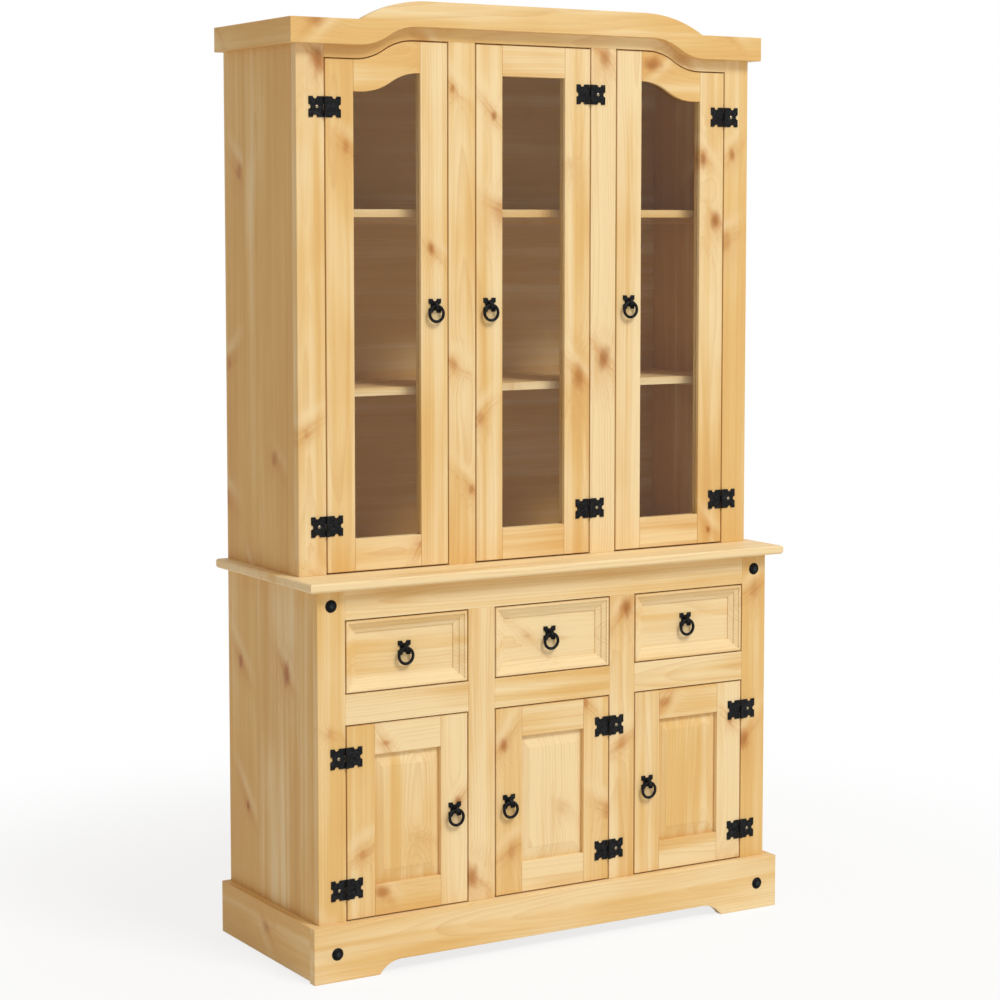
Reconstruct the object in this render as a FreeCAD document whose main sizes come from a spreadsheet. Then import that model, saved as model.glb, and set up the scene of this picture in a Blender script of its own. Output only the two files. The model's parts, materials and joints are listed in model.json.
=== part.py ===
import FreeCAD, Part
import os
import re
import Sketcher

# Pine highboard: a sideboard with drawers and panelled doors, and a glazed hutch on its worktop.
# Millimetres, +Z up, the front faces -Y, and the origin is on the floor under the middle of the worktop.

# Driving sizes: name, value, what it measures
SIZES = [
    ("bay_width", 275, "clear width of each of the three openings"),
    ("post_width", 61, "face-frame post between two openings"),
    ("stile_width", 60, "face-frame stile at each end"),
    ("frame_thickness", 20, "face frames, doors and drawer fronts"),
    ("side_thickness", 18, "side panels"),
    ("deck_thickness", 18, "floor and top boards of the cabinets"),
    ("back_thickness", 6, "back panels"),
    ("base_depth", 402, "sideboard from face frame to back"),
    ("base_height", 762, "floor to the underside of the worktop"),
    ("worktop_thickness", 18, "worktop board"),
    ("worktop_side_overhang", 26.5, "worktop past each side panel"),
    ("worktop_front_overhang", 28, "worktop past the face frame"),
    ("worktop_round", 5, "rounded upper edge of the worktop"),
    ("worktop_undercut", 4, "slanted lower edge of the worktop"),
    ("plinth_height", 110, "floor to the top of the plinth boards"),
    ("plinth_thickness", 20, "plinth boards"),
    ("plinth_side_lift", 4, "plinth side boards above the floor"),
    ("foot_width", 143, "flat foot at each end of the plinth front"),
    ("toe_height", 25, "height of the cut-out between the feet"),
    ("toe_curve", 48, "length of the curved end of the cut-out"),
    ("bottom_rail_height", 50, "rail behind the plinth"),
    ("middle_rail_height", 60, "rail between a drawer and a door"),
    ("top_rail_height", 61, "rail over the drawers"),
    ("drawer_opening", 145, "height of a drawer's opening"),
    ("hutch_setback", 76, "hutch face behind the sideboard's face"),
    ("hutch_height", 1073, "worktop to the flat top of the cornice"),
    ("hutch_rail_end", 73.5, "depth of the arched rail at its ends"),
    ("arch_rise", 39, "rise of the arched edges towards the middle"),
    ("ogee_clear", 18, "rail between two door stiles less the run of an ogee"),
    ("ogee_lean", 6, "ogee of the door tops, outwards from the bay's middle"),
    ("pane_ogee_lean", 8, "ogee over the glass, inwards from the bay's middle"),
    ("cornice_height", 49, "cornice at its ends"),
    ("cornice_thickness", 20, "cornice boards"),
    ("crest_rise", 40, "crest above the cornice's ends"),
    ("crest_flat", 257, "half length of the crest's straight top"),
    ("crest_curve", 145, "length of the crest's curved shoulder"),
    ("door_gap", 2.5, "gap round doors and drawer fronts"),
    ("hutch_door_lift", 3, "hutch doors above the worktop"),
    ("door_stile", 61, "upright members of a door"),
    ("door_rail", 61, "cross members of a door"),
    ("hutch_foot_rail", 63, "lowest member of a hutch door"),
    ("arris", 0.7, "eased edge of a board"),
    ("groove_depth", 8, "groove for a panel and rebate for a pane"),
    ("groove_clearance", 0.3, "room round a panel or pane in its seat"),
    ("tongue_inset", 10, "panel tongue behind the door's face"),
    ("tongue_thickness", 6, "edge of a door panel"),
    ("field_inset", 3, "raised field behind the door's face"),
    ("field_step", 0.5, "upright step round the raised field"),
    ("bevel_width", 19, "slope at the sides of the raised field"),
    ("bevel_height", 27, "slope above and below the raised field"),
    ("pane_inset", 8, "glass behind the door's face"),
    ("pane_thickness", 4, "glass"),
    ("shelf_thickness", 16, "shelf boards"),
    ("shelf_setback", 45, "shelf edge behind the cabinet's face"),
    ("shelf_clearance", 0.5, "shelf end to side panel"),
    ("lower_shelf_height", 342, "worktop to the underside of the lower hutch shelf"),
    ("upper_shelf_height", 694, "worktop to the underside of the upper hutch shelf"),
    ("base_shelf_height", 300, "floor to the underside of the sideboard's shelf"),
    ("cleat_size", 14, "square section of the shelf cleats"),
    ("moulding_lip", 5, "flat rim of a drawer front"),
    ("moulding_width", 20, "moulded slope inside the rim"),
    ("moulding_depth", 15, "recess of the drawer front's field"),
    ("box_side_room", 10, "drawer box inside its opening, each side"),
    ("box_thickness", 12, "drawer sides and back"),
    ("box_height", 100, "drawer sides"),
    ("box_length", 345, "drawer sides from front to back"),
    ("box_bottom_thickness", 4, "drawer bottom"),
    ("box_bottom_lift", 8, "groove for the bottom above the lower edge"),
    ("box_groove_depth", 5, "groove for the bottom"),
    ("runner_lift", 2, "top of a runner above the drawer opening's sill"),
    ("runner_thickness", 16, "ledge under the drawer's side"),
    ("runner_ledge", 18, "ledge's reach under the drawer's side"),
    ("guide_height", 25, "upright guide beside the drawer's side"),
    ("slide_clearance", 0.3, "drawer box to runner"),
    ("hinge_height", 40, "hinge leaf and barrel"),
    ("leaf_width", 31, "hinge leaf outwards from its inner edge"),
    ("leaf_start", 3.6, "inner edge of a leaf from the hinge axis"),
    ("leaf_notch", 4.7, "radius of the round notches in a leaf"),
    ("leaf_notch_place", 20.8, "upper and lower notch from the hinge axis"),
    ("iron_thickness", 1.6, "hinge leaves"),
    ("barrel_radius", 3.2, "hinge knuckles"),
    ("barrel_stand", 3.4, "hinge axis in front of the face"),
    ("pin_radius", 1.5, "hinge pin"),
    ("pin_clearance", 0.05, "room round the pin in the turning knuckle"),
    ("knuckle_gap", 0.3, "room between two knuckles"),
    ("hutch_hinge_inset", 92, "hinge middle from the end of a hutch door"),
    ("base_hinge_inset", 61, "hinge middle from the end of a base door"),
    ("pull_inset", 30, "pull from the free edge of a door"),
    ("drawer_pull_lift", 6, "drawer pull above the middle of its front"),
    ("plate_size", 28, "pull plate, each way"),
    ("plate_notch", 5, "radius of the round notches in a plate"),
    ("plate_thickness", 2, "pull plate"),
    ("lug_width", 7, "lug that carries the ring"),
    ("lug_radius", 5.7, "rounded nose of the lug"),
    ("eye_radius", 3.7, "eye through the lug"),
    ("ring_radius", 15.5, "ring, to the middle of its wire"),
    ("wire_radius", 3, "ring's wire"),
    ("ring_stand", 8.5, "ring's plane in front of the face"),
    ("stud_radius", 12.5, "iron stud at the wood"),
    ("stud_rim", 2.8, "height of a stud's sloped rim"),
    ("stud_top", 9, "radius of a stud inside its rim"),
    ("stud_height", 4, "crown of an iron stud"),
    ("stud_flat", 4, "radius of the flat on a stud's crown"),
    ("stud_drop", 31, "upper studs below the worktop"),
    ("plinth_stud_inset", 50, "lower studs from the plinth's end"),
    ("catch_height", 40, "magnetic catch"),
    ("catch_depth", 14, "magnetic catch behind the face frame"),
    ("catch_reach", 14, "catch past the edge of its post"),
    ("catch_seat", 26, "catch on the back of its post"),
    ("catch_drop", 90, "catch below the top of a door's straight stile"),
    ("strike_thickness", 1, "strike plate on the back of a door"),
    ("strike_gap", 0.3, "strike plate to catch"),
]

# Places and sizes that follow from the driving sizes
PLACES = [
    ("pitch", "bay_width + post_width", "one bay's middle to the next"),
    ("carcass_half", "1.5 * bay_width + post_width + stile_width", "middle to the outer side"),
    ("inner_half", "carcass_half - side_thickness", "middle to a side panel's inner face"),
    ("frame_half", "carcass_half - stile_width", "middle to the edge of an end stile"),
    ("back", "(base_depth + worktop_front_overhang) / 2", "back of both cabinets"),
    ("panel_front", "back - back_thickness", "front of the back panels"),
    ("base_face", "back - base_depth", "face of the sideboard"),
    ("base_inside", "base_face + frame_thickness", "back of its face frame"),
    ("hutch_face", "base_face + hutch_setback", "face of the hutch"),
    ("hutch_inside", "hutch_face + frame_thickness", "back of its face frame"),
    ("worktop_top", "base_height + worktop_thickness", "upper face of the worktop"),
    ("hutch_top", "worktop_top + hutch_height", "flat top of the cornice"),
    ("cornice_low", "hutch_top - cornice_height", "lower edge of the cornice's ends"),
    ("cornice_half", "carcass_half + cornice_thickness", "middle to the cornice's end"),
    ("plinth_half", "carcass_half + plinth_thickness", "middle to the plinth's end"),
    ("drawer_high", "base_height - top_rail_height", "top of the drawer openings"),
    ("drawer_low", "drawer_high - drawer_opening", "sill of the drawer openings"),
    ("cupboard_high", "drawer_low - middle_rail_height", "top of the base door openings"),
    ("door_half", "bay_width / 2 - door_gap", "half width of a door or drawer front"),
    ("light_half", "door_half - door_stile", "half width between a door's stiles"),
    ("base_door_low", "plinth_height + door_gap", "base door's lower edge"),
    ("base_door_high", "cupboard_high - door_gap", "base door's upper edge"),
    ("base_door_mid", "(base_door_low + base_door_high) / 2", "base door's middle"),
    ("panel_low", "base_door_low + door_rail", "lower edge of the panel's opening"),
    ("panel_high", "base_door_high - door_rail", "upper edge of the panel's opening"),
    ("hutch_door_low", "worktop_top + hutch_door_lift", "hutch door's lower edge"),
    ("arch_end", "hutch_top - hutch_rail_end", "hutch opening at the ends of the arch"),
    ("arch_mid", "arch_end + arch_rise", "hutch opening under the arch"),
    ("hutch_door_end", "arch_end - door_gap", "top of an outer door at its hinges"),
    ("hutch_door_mid", "arch_mid - door_gap", "top of the doors under the arch"),
    ("hutch_pull", "(hutch_door_low + hutch_door_mid) / 2", "height of the hutch pulls"),
    ("pane_low", "hutch_door_low + hutch_foot_rail", "lower edge of the glass opening"),
    ("pane_end", "hutch_door_end - door_rail", "upper edge of the glass at the hinges"),
    ("pane_mid", "hutch_door_mid - door_rail", "upper edge of the glass under the arch"),
    ("pane_back", "hutch_face + pane_inset + pane_thickness", "back of the glass"),
    ("ogee_run", "2 * light_half - ogee_clear", "length of an ogee"),
    ("ogee_radius", "(ogee_run ^ 2 + arch_rise ^ 2) / (4 * arch_rise)", "its two arcs"),
    ("ogee_mid", "pitch + ogee_lean", "middle of the ogee on rail, door and cornice"),
    ("ogee_near", "ogee_mid - ogee_run / 2", "its upper end"),
    ("ogee_far", "ogee_mid + ogee_run / 2", "its lower end"),
    ("pane_ogee_mid", "pitch - pane_ogee_lean", "middle of the ogee over the glass"),
    ("pane_ogee_near", "pane_ogee_mid - ogee_run / 2", "its upper end"),
    ("pane_ogee_far", "pane_ogee_mid + ogee_run / 2", "its lower end"),
    ("crest_radius", "(crest_curve ^ 2 + crest_rise ^ 2) / (2 * crest_rise)", "crest's shoulder"),
    ("toe_radius", "(toe_curve ^ 2 + toe_height ^ 2) / (2 * toe_height)", "curve of the cut-out"),
    ("front_half_height", "drawer_opening / 2 - door_gap", "half height of a drawer front"),
    ("front_mid", "drawer_low + drawer_opening / 2", "middle of a drawer front"),
    ("drawer_field", "base_face + moulding_depth", "recessed field of a drawer front"),
    ("drawer_pull", "front_mid + drawer_pull_lift", "height of the drawer pulls"),
    ("box_half", "bay_width / 2 - box_side_room", "half width of a drawer box"),
    ("runner_top", "drawer_low + runner_lift", "face that a drawer slides on"),
    ("box_low", "runner_top + slide_clearance", "lower edge of a drawer box"),
    ("box_back", "base_inside + box_length", "back of a drawer box"),
    ("bottom_low", "box_low + box_bottom_lift", "underside of a drawer's bottom"),
    ("hinge_half", "hinge_height / 2", "hinge middle to its end"),
    ("knuckle_half", "hinge_height / 6", "half of the middle knuckle and its gaps"),
    ("hinge_edge", "bay_width / 2 - door_gap / 2", "hinge axis from its bay's middle"),
    ("pull_side", "door_half - pull_inset", "pull from its bay's middle"),
]

VECTOR = FreeCAD.Vector
UPRIGHT = FreeCAD.Rotation()
ALONG = {
    "x": FreeCAD.Rotation(VECTOR(0, 1, 0), 90),
    "y": FreeCAD.Rotation(VECTOR(1, 0, 0), -90),
    "z": UPRIGHT,
}
FORWARDS = FreeCAD.Rotation(VECTOR(1, 0, 0), 90)
SAME_PLACE = 0.01  # millimetres within which an edge counts as lying on a face
# Drawer moulding from its rim to its field: two slopes between three quirks, in shares of its width and depth
MOULDING = [(0, 0), (0, 0.14), (0.45, 0.42), (0.45, 0.56), (1, 0.86), (1, 1)]

document = FreeCAD.newDocument("highboard")
sizes = document.addObject("Spreadsheet::Sheet", "Sizes")
places = document.addObject("Spreadsheet::Sheet", "Places")
SHEET_OF = {name: "Sizes" for name, value, note in SIZES}
SHEET_OF.update({name: "Places" for name, formula, note in PLACES})
nodes = []


def bound(formula, home=None):
    """The formula with its sheet written before each named size."""
    def with_sheet(match):
        word = match.group(0)
        sheet = SHEET_OF.get(word)
        return word if sheet in (None, home) else f"{sheet}.{word}"
    return re.sub(r"[a-z_]+", with_sheet, str(formula))


def fill_sheets():
    """Write the driving sizes as plain numbers and the rest as formulas."""
    for row, (name, value, note) in enumerate(SIZES, start=1):
        sizes.set(f"A{row}", note)
        sizes.set(f"B{row}", str(value))
        sizes.setAlias(f"B{row}", name)
    document.recompute()
    for row, (name, formula, note) in enumerate(PLACES, start=1):
        places.set(f"A{row}", note)
        places.set(f"B{row}", "=" + bound(formula, home="Places"))
        places.setAlias(f"B{row}", name)
        document.recompute()


def measure(formula):
    """The number that a formula of the named sizes gives now."""
    return float(sizes.evalExpression(bound(formula)))


def tie(thing, formulas):
    """Bind properties of an object to formulas of the named sizes."""
    for name, formula in formulas.items():
        thing.setExpression(name, bound(formula))


def node(thing):
    """Keep an object as one sub-part of the highboard."""
    nodes.append(thing)
    return thing


def new_body(name):
    return document.addObject("PartDesign::Body", name)


def block(body, kind, x, y, z):
    """Add or cut a block of a body between two places along each axis."""
    feature = body.newObject(f"PartDesign::{kind}Box", f"{body.Name}_{kind}")
    for axis, side, (low, high) in zip("xyz", ("Length", "Width", "Height"), (x, y, z)):
        tie(feature, {side: f"({high}) - ({low})", f"Placement.Base.{axis}": low})
    return feature


def rod(body, kind, axis, radius, x, y, z):
    """Add or cut a cylinder of a body; the place along its axis is a pair of ends."""
    feature = body.newObject(f"PartDesign::{kind}Cylinder", f"{body.Name}_{kind}")
    feature.Placement = FreeCAD.Placement(VECTOR(), ALONG[axis])
    centre = {"x": x, "y": y, "z": z}
    low, high = centre[axis]
    centre[axis] = low
    tie(feature, {"Radius": radius, "Height": f"({high}) - ({low})"})
    tie(feature, {f"Placement.Base.{letter}": place for letter, place in centre.items()})


def taper(body, kind, y, front_x, front_z, rear_x, rear_z):
    """Add or cut a frustum between a rectangle in front and one behind it."""
    feature = body.newObject(f"PartDesign::{kind}Wedge", f"{body.Name}_{kind}")
    tie(feature, {"Ymin": y[0], "Ymax": y[1]})
    tie(feature, {"Xmin": front_x[0], "Xmax": front_x[1], "Zmin": front_z[0], "Zmax": front_z[1]})
    tie(feature, {"X2min": rear_x[0], "X2max": rear_x[1], "Z2min": rear_z[0], "Z2max": rear_z[1]})


def ease(body):
    """Take the sharp arrises off the whole body."""
    document.recompute()
    base = body.Tip
    chamfer = body.newObject("PartDesign::Chamfer", f"{body.Name}_arris")
    chamfer.Base = (base, ["Face1"])
    chamfer.UseAllEdges = True
    tie(chamfer, {"Size": "arris"})


def edges_where(shape, test):
    """Names of the straight or round edges whose middle passes a test."""
    return [f"Edge{count}" for count, edge in enumerate(shape.Edges, start=1) if test(edge.CenterOfMass)]


def board(name, x, y, z):
    """A plain board with eased edges."""
    body = new_body(name)
    block(body, "Additive", x, y, z)
    ease(body)
    return body


def arc_between(start, end, radius, turn):
    """Arc under a half circle from start to end, turning left or right."""
    chord = end - start
    middle = (start + end) / 2
    leftwards = VECTOR(-chord.y, chord.x, 0).normalize()
    rise = (radius ** 2 - (chord.Length / 2) ** 2) ** 0.5
    centre = middle + leftwards * (rise if turn == "left" else -rise)
    first, last = (start, end) if turn == "left" else (end, start)
    angles = [VECTOR(1, 0, 0).getAngle(point - centre) for point in (first, last)]
    signed = [-a if point.y < centre.y else a for a, point in zip(angles, (first, last))]
    circle = Part.Circle(centre, VECTOR(0, 0, 1), radius)
    return Part.ArcOfCircle(circle, signed[0], signed[1])


def outline(body, plane, corners):
    """Closed sketch; each corner is (across, up) or (across, up, turn, radius of the arc after it)."""
    sketch = body.newObject("Sketcher::SketchObject", f"{body.Name}_outline")
    support = [part for part in body.Origin.OriginFeatures if part.Role == plane][0]
    sketch.AttachmentSupport = [(support, "")]
    sketch.MapMode = "FlatFace"
    points = [VECTOR(measure(corner[0]), measure(corner[1]), 0) for corner in corners]
    ends = []
    for number, corner in enumerate(corners):
        start, end = points[number], points[(number + 1) % len(points)]
        if len(corner) == 2:
            sketch.addGeometry(Part.LineSegment(start, end), False)
            ends.append((1, 2))
        else:
            turn, radius = corner[2:]
            sketch.addGeometry(arc_between(start, end, measure(radius), turn), False)
            ends.append((1, 2) if turn == "left" else (2, 1))
    for number in range(len(corners)):
        following = (number + 1) % len(corners)
        joint = Sketcher.Constraint("Coincident", number, ends[number][1], following, ends[following][0])
        sketch.addConstraint(joint)
    for number, corner in enumerate(corners):
        measures = [("DistanceX", "across", corner[0]), ("DistanceY", "up", corner[1])]
        for kind, word, formula in measures:
            rule = Sketcher.Constraint(kind, -1, 1, number, ends[number][0], measure(formula))
            bind_rule(sketch, rule, f"{word}{number}", formula)
        if len(corner) == 4:
            rule = Sketcher.Constraint("Radius", number, measure(corner[3]))
            bind_rule(sketch, rule, f"radius{number}", corner[3])
    return sketch


def bind_rule(sketch, rule, name, formula):
    """Add a dimension to a sketch, named and bound to its formula."""
    sketch.renameConstraint(sketch.addConstraint(rule), name)
    tie(sketch, {f"Constraints.{name}": formula})


def pad(body, sketch, length):
    """Extrude an outline; one on the XZ plane goes forwards."""
    document.recompute()
    feature = body.newObject("PartDesign::Pad", f"{body.Name}_pad")
    feature.Profile = sketch
    tie(feature, {"Length": length})


def group(name, members):
    """Separate solids that share one sub-part."""
    compound = document.addObject("Part::Compound", name)
    compound.Links = members
    return compound


def copy(name, source, x="0", y="0", z="0"):
    """The same piece again at another place."""
    link = document.addObject("App::Link", name)
    link.LinkedObject = source
    link.LinkTransform = False
    tie(link, {"Placement.Base.x": x, "Placement.Base.y": y, "Placement.Base.z": z})
    return link


def mirrored(name, source):
    """The piece's mirror image across the middle of the highboard."""
    mirror = document.addObject("Part::Mirroring", name)
    mirror.Source = source
    mirror.Normal = VECTOR(1, 0, 0)
    return mirror


def both_sides(name, x, y, z):
    """A board on the right and its mirror image on the left, in one sub-part."""
    right = board(f"{name}_right", x, y, z)
    node(group(name, [right, mirrored(f"{name}_left", right)]))


def both(half):
    """The pair of places at plus and minus a half width."""
    return f"-({half})", half


def sideboard_carcass():
    frame = ("base_face", "base_inside")
    inside = ("base_inside", "panel_front")
    both_sides("base_sides", ("inner_half", "carcass_half"), ("base_inside", "back"), ("0", "base_height"))
    node(board("base_floor", both("inner_half"), inside, ("plinth_height - deck_thickness", "plinth_height")))
    node(board("base_back", both("inner_half"), ("panel_front", "back"), ("toe_height", "base_height")))
    shelf_y = ("base_face + shelf_setback", "panel_front")
    shelf_z = ("base_shelf_height", "base_shelf_height + shelf_thickness")
    node(board("base_shelf", both("inner_half - shelf_clearance"), shelf_y, shelf_z))
    stile = board("base_stile_right", ("frame_half", "carcass_half"), frame, ("0", "base_height"))
    post_x = ("bay_width / 2", "bay_width / 2 + post_width")
    post = board("base_post_right", post_x, frame, ("plinth_height", "drawer_high"))
    uprights = [stile, post, mirrored("base_stile_left", stile), mirrored("base_post_left", post)]
    node(group("base_uprights", uprights))
    low = ("plinth_height - bottom_rail_height", "plinth_height")
    bottom = board("base_bottom_rail", both("frame_half"), frame, low)
    top = board("base_top_rail", both("frame_half"), frame, ("drawer_high", "base_height"))
    node(group("base_long_rails", [bottom, top]))
    middle = board("base_middle_rail", both("bay_width / 2"), frame, ("cupboard_high", "drawer_low"))
    left = copy("base_middle_rail_left", middle, "-pitch")
    right = copy("base_middle_rail_right", middle, "pitch")
    node(group("base_middle_rails", [middle, left, right]))


def worktop():
    """Board with a rounded upper edge and a slanted lower edge on its three free sides."""
    body = new_body("worktop")
    half = "carcass_half + worktop_side_overhang"
    front = "base_face - worktop_front_overhang"
    slab = block(body, "Additive", both(half), (front, "back"), ("base_height", "worktop_top"))
    document.recompute()
    rear, top, bottom = measure("back"), measure("worktop_top"), measure("base_height")
    upper = edges_where(
        slab.Shape, lambda place: place.z > top - SAME_PLACE and place.y < rear - SAME_PLACE
    )
    rounding = body.newObject("PartDesign::Fillet", "worktop_rounding")
    rounding.Base = (slab, upper)
    tie(rounding, {"Radius": "worktop_round"})
    document.recompute()
    lower = edges_where(
        rounding.Shape, lambda place: place.z < bottom + SAME_PLACE and place.y < rear - SAME_PLACE
    )
    slant = body.newObject("PartDesign::Chamfer", "worktop_slant")
    slant.Base = (rounding, lower)
    tie(slant, {"Size": "worktop_undercut"})
    node(body)


def plinth():
    """Front board with two feet, and a straight board along each side behind it."""
    front = new_body("plinth_front")
    foot = "plinth_half - foot_width"
    corners = [
        ("-plinth_half", "0"),
        (f"-({foot})", "0", "right", "toe_radius"),
        (f"-({foot} - toe_curve)", "toe_height"),
        (f"{foot} - toe_curve", "toe_height", "right", "toe_radius"),
        (foot, "0"),
        ("plinth_half", "0"),
        ("plinth_half", "plinth_height"),
        ("-plinth_half", "plinth_height"),
    ]
    pad(front, outline(front, "XZ_Plane", corners), "plinth_thickness")
    tie(front, {"Placement.Base.y": "base_face"})
    ease(front)
    node(front)
    side_z = ("plinth_side_lift", "plinth_height")
    both_sides("plinth_sides", ("carcass_half", "plinth_half"), ("base_face", "back"), side_z)


def drawer_runners():
    """A ledge under each drawer side with an upright guide beside it."""
    along = ("base_inside", "panel_front")
    ledge_z = ("runner_top - runner_thickness", "runner_top")
    guide_z = ("runner_top", "runner_top + guide_height")
    outer = new_body("side_runner_right")
    reach = "pitch + box_half"
    block(outer, "Additive", (f"{reach} - runner_ledge", "inner_half"), along, ledge_z)
    block(outer, "Additive", (f"{reach} + slide_clearance", "inner_half"), along, guide_z)
    inner = new_body("middle_runner_right")
    near, far = "box_half", "pitch - box_half"
    block(inner, "Additive", (f"{near} - runner_ledge", f"{far} + runner_ledge"), along, ledge_z)
    block(inner, "Additive", (f"{near} + slide_clearance", f"{far} - slide_clearance"), along, guide_z)
    pair = [mirrored("side_runner_left", outer), mirrored("middle_runner_left", inner)]
    node(group("drawer_runners", [outer, inner] + pair))


def ogee(near, far, high, low, falling):
    """Corners of an S-shaped edge of two equal arcs, named from its left end to its right end."""
    first, second = ("right", "left") if falling else ("left", "right")
    start, finish = (high, low) if falling else (low, high)
    middle = (f"({near} + {far}) / 2", f"({high} + {low}) / 2")
    return [(near, start, first, "ogee_radius"), (*middle, second, "ogee_radius"), (far, finish)]


def hutch_carcass():
    frame = ("hutch_face", "hutch_inside")
    inside = ("hutch_inside", "panel_front")
    full = ("worktop_top", "hutch_top")
    both_sides("hutch_sides", ("inner_half", "carcass_half"), ("hutch_inside", "back"), full)
    low = ("worktop_top", "worktop_top + deck_thickness")
    floor = board("hutch_floor", both("inner_half"), inside, low)
    roof = board("hutch_roof", both("inner_half"), inside, ("hutch_top - deck_thickness", "hutch_top"))
    node(group("hutch_decks", [floor, roof]))
    node(board("hutch_back", both("inner_half"), ("panel_front", "back"), full))
    stile = board("hutch_stile_right", ("frame_half", "carcass_half"), frame, full)
    post_x = ("bay_width / 2", "bay_width / 2 + post_width")
    post = board("hutch_post_right", post_x, frame, ("worktop_top", "arch_mid"))
    uprights = [stile, post, mirrored("hutch_stile_left", stile), mirrored("hutch_post_left", post)]
    node(group("hutch_uprights", uprights))
    rail = new_body("hutch_top_rail")
    corners = [("-frame_half", "arch_end")]
    corners += ogee("-ogee_far", "-ogee_near", "arch_mid", "arch_end", falling=False)
    corners += ogee("ogee_near", "ogee_far", "arch_mid", "arch_end", falling=True)
    corners += [("frame_half", "arch_end"), ("frame_half", "hutch_top"), ("-frame_half", "hutch_top")]
    pad(rail, outline(rail, "XZ_Plane", corners), "frame_thickness")
    tie(rail, {"Placement.Base.y": "hutch_inside"})
    ease(rail)
    node(rail)


def cornice():
    """Arched front board mitred to a straight return along each side."""
    face = new_body("cornice_face")
    under = "cornice_low + arch_rise"
    crest = "hutch_top + crest_rise"
    shoulder = "crest_flat + crest_curve"
    corners = [("-cornice_half", "cornice_low")]
    corners += ogee("-ogee_far", "-ogee_near", under, "cornice_low", falling=False)
    corners += ogee("ogee_near", "ogee_far", under, "cornice_low", falling=True)
    corners += [
        ("cornice_half", "cornice_low"),
        ("cornice_half", "hutch_top"),
        (shoulder, "hutch_top", "left", "crest_radius"),
        ("crest_flat", crest),
        ("-crest_flat", crest, "left", "crest_radius"),
        (f"-({shoulder})", "hutch_top"),
        ("-cornice_half", "hutch_top"),
    ]
    pad(face, outline(face, "XZ_Plane", corners), "cornice_thickness")
    tie(face, {"Placement.Base.y": "hutch_face"})
    ease(face)
    plan = new_body("cornice_plan")
    front = "hutch_face - cornice_thickness"
    ground = [
        ("-cornice_half", front),
        ("cornice_half", front),
        ("carcass_half", "hutch_face"),
        ("-carcass_half", "hutch_face"),
    ]
    pad(plan, outline(plan, "XY_Plane", ground), crest)
    mitred = document.addObject("Part::Common", "cornice_front")
    mitred.Base = face
    mitred.Tool = plan
    node(mitred)
    right = new_body("cornice_return_right")
    ground = [
        ("carcass_half", "hutch_face"),
        ("cornice_half", front),
        ("cornice_half", "back"),
        ("carcass_half", "back"),
    ]
    pad(right, outline(right, "XY_Plane", ground), "cornice_height")
    tie(right, {"Placement.Base.z": "cornice_low"})
    ease(right)
    node(group("cornice_returns", [right, mirrored("cornice_return_left", right)]))


def shelves():
    """Two hutch shelves, and cleats under every shelf at its two ends and its back."""
    cleats = []
    hutch_shelves = []
    heights = [
        ("lower", "worktop_top + lower_shelf_height", "hutch_face"),
        ("upper", "worktop_top + upper_shelf_height", "hutch_face"),
        ("base", "base_shelf_height", "base_face"),
    ]
    for word, low, face in heights:
        front = f"{face} + shelf_setback"
        if word != "base":
            deep = (front, "panel_front")
            thick = (low, f"{low} + shelf_thickness")
            wide = both("inner_half - shelf_clearance")
            hutch_shelves.append(board(f"hutch_shelf_{word}", wide, deep, thick))
        under = (f"{low} - cleat_size", low)
        end_y = (f"{front} + cleat_size", "panel_front - cleat_size")
        end = board(f"cleat_{word}_right", ("inner_half - cleat_size", "inner_half"), end_y, under)
        rear_y = ("panel_front - cleat_size", "panel_front")
        rear = board(f"cleat_{word}_rear", both("inner_half"), rear_y, under)
        cleats += [end, mirrored(f"cleat_{word}_left", end), rear]
    node(group("hutch_shelves", hutch_shelves))
    node(group("shelf_cleats", cleats))


def door_member(name, x, z, cut):
    """One straight member of a door, with the groove or rebate that it shares with the others."""
    face = cut["face"]
    member = board(name, x, (face, f"{face} + frame_thickness"), z)
    block(member, "Subtractive", cut["x"], cut["y"], cut["z"])
    return member


def base_doors():
    """Three doors of four members, grooved for a raised and fielded panel."""
    seat = {"face": "base_face"}
    seat["x"] = both("light_half + groove_depth")
    rear = "base_face + tongue_inset + tongue_thickness"
    seat["y"] = ("base_face + tongue_inset - groove_clearance", f"{rear} + groove_clearance")
    seat["z"] = ("panel_low - groove_depth", "panel_high + groove_depth")
    full = ("base_door_low", "base_door_high")
    inner = both("light_half")
    frame = group("base_door_middle_frame", [
        door_member("base_door_stile_left", ("-door_half", "-light_half"), full, seat),
        door_member("base_door_stile_right", ("light_half", "door_half"), full, seat),
        door_member("base_door_foot_rail", inner, ("base_door_low", "panel_low"), seat),
        door_member("base_door_head_rail", inner, ("panel_high", "base_door_high"), seat),
    ])
    panel = new_body("base_door_middle_panel")
    edge = "groove_depth - groove_clearance"
    tongue_z = (f"panel_low - ({edge})", f"panel_high + {edge}")
    block(panel, "Additive", both(f"light_half + {edge}"), ("base_face + tongue_inset", rear), tongue_z)
    bevel_y = ("base_face + field_inset + field_step", "base_face + tongue_inset")
    field_x = both("light_half - bevel_width")
    field_z = ("panel_low + bevel_height", "panel_high - bevel_height")
    slope_x = both("light_half - groove_clearance")
    slope_z = ("panel_low + groove_clearance", "panel_high - groove_clearance")
    taper(panel, "Additive", bevel_y, field_x, field_z, slope_x, slope_z)
    step_x = both("light_half - bevel_width - field_step")
    step_z = ("panel_low + bevel_height + field_step", "panel_high - bevel_height - field_step")
    block(panel, "Additive", step_x, ("base_face + field_inset", bevel_y[0]), step_z)
    node(frame)
    node(panel)
    for side, x in (("left", "-pitch"), ("right", "pitch")):
        node(copy(f"base_door_{side}_frame", frame, x))
        node(copy(f"base_door_{side}_panel", panel, x))


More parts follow.
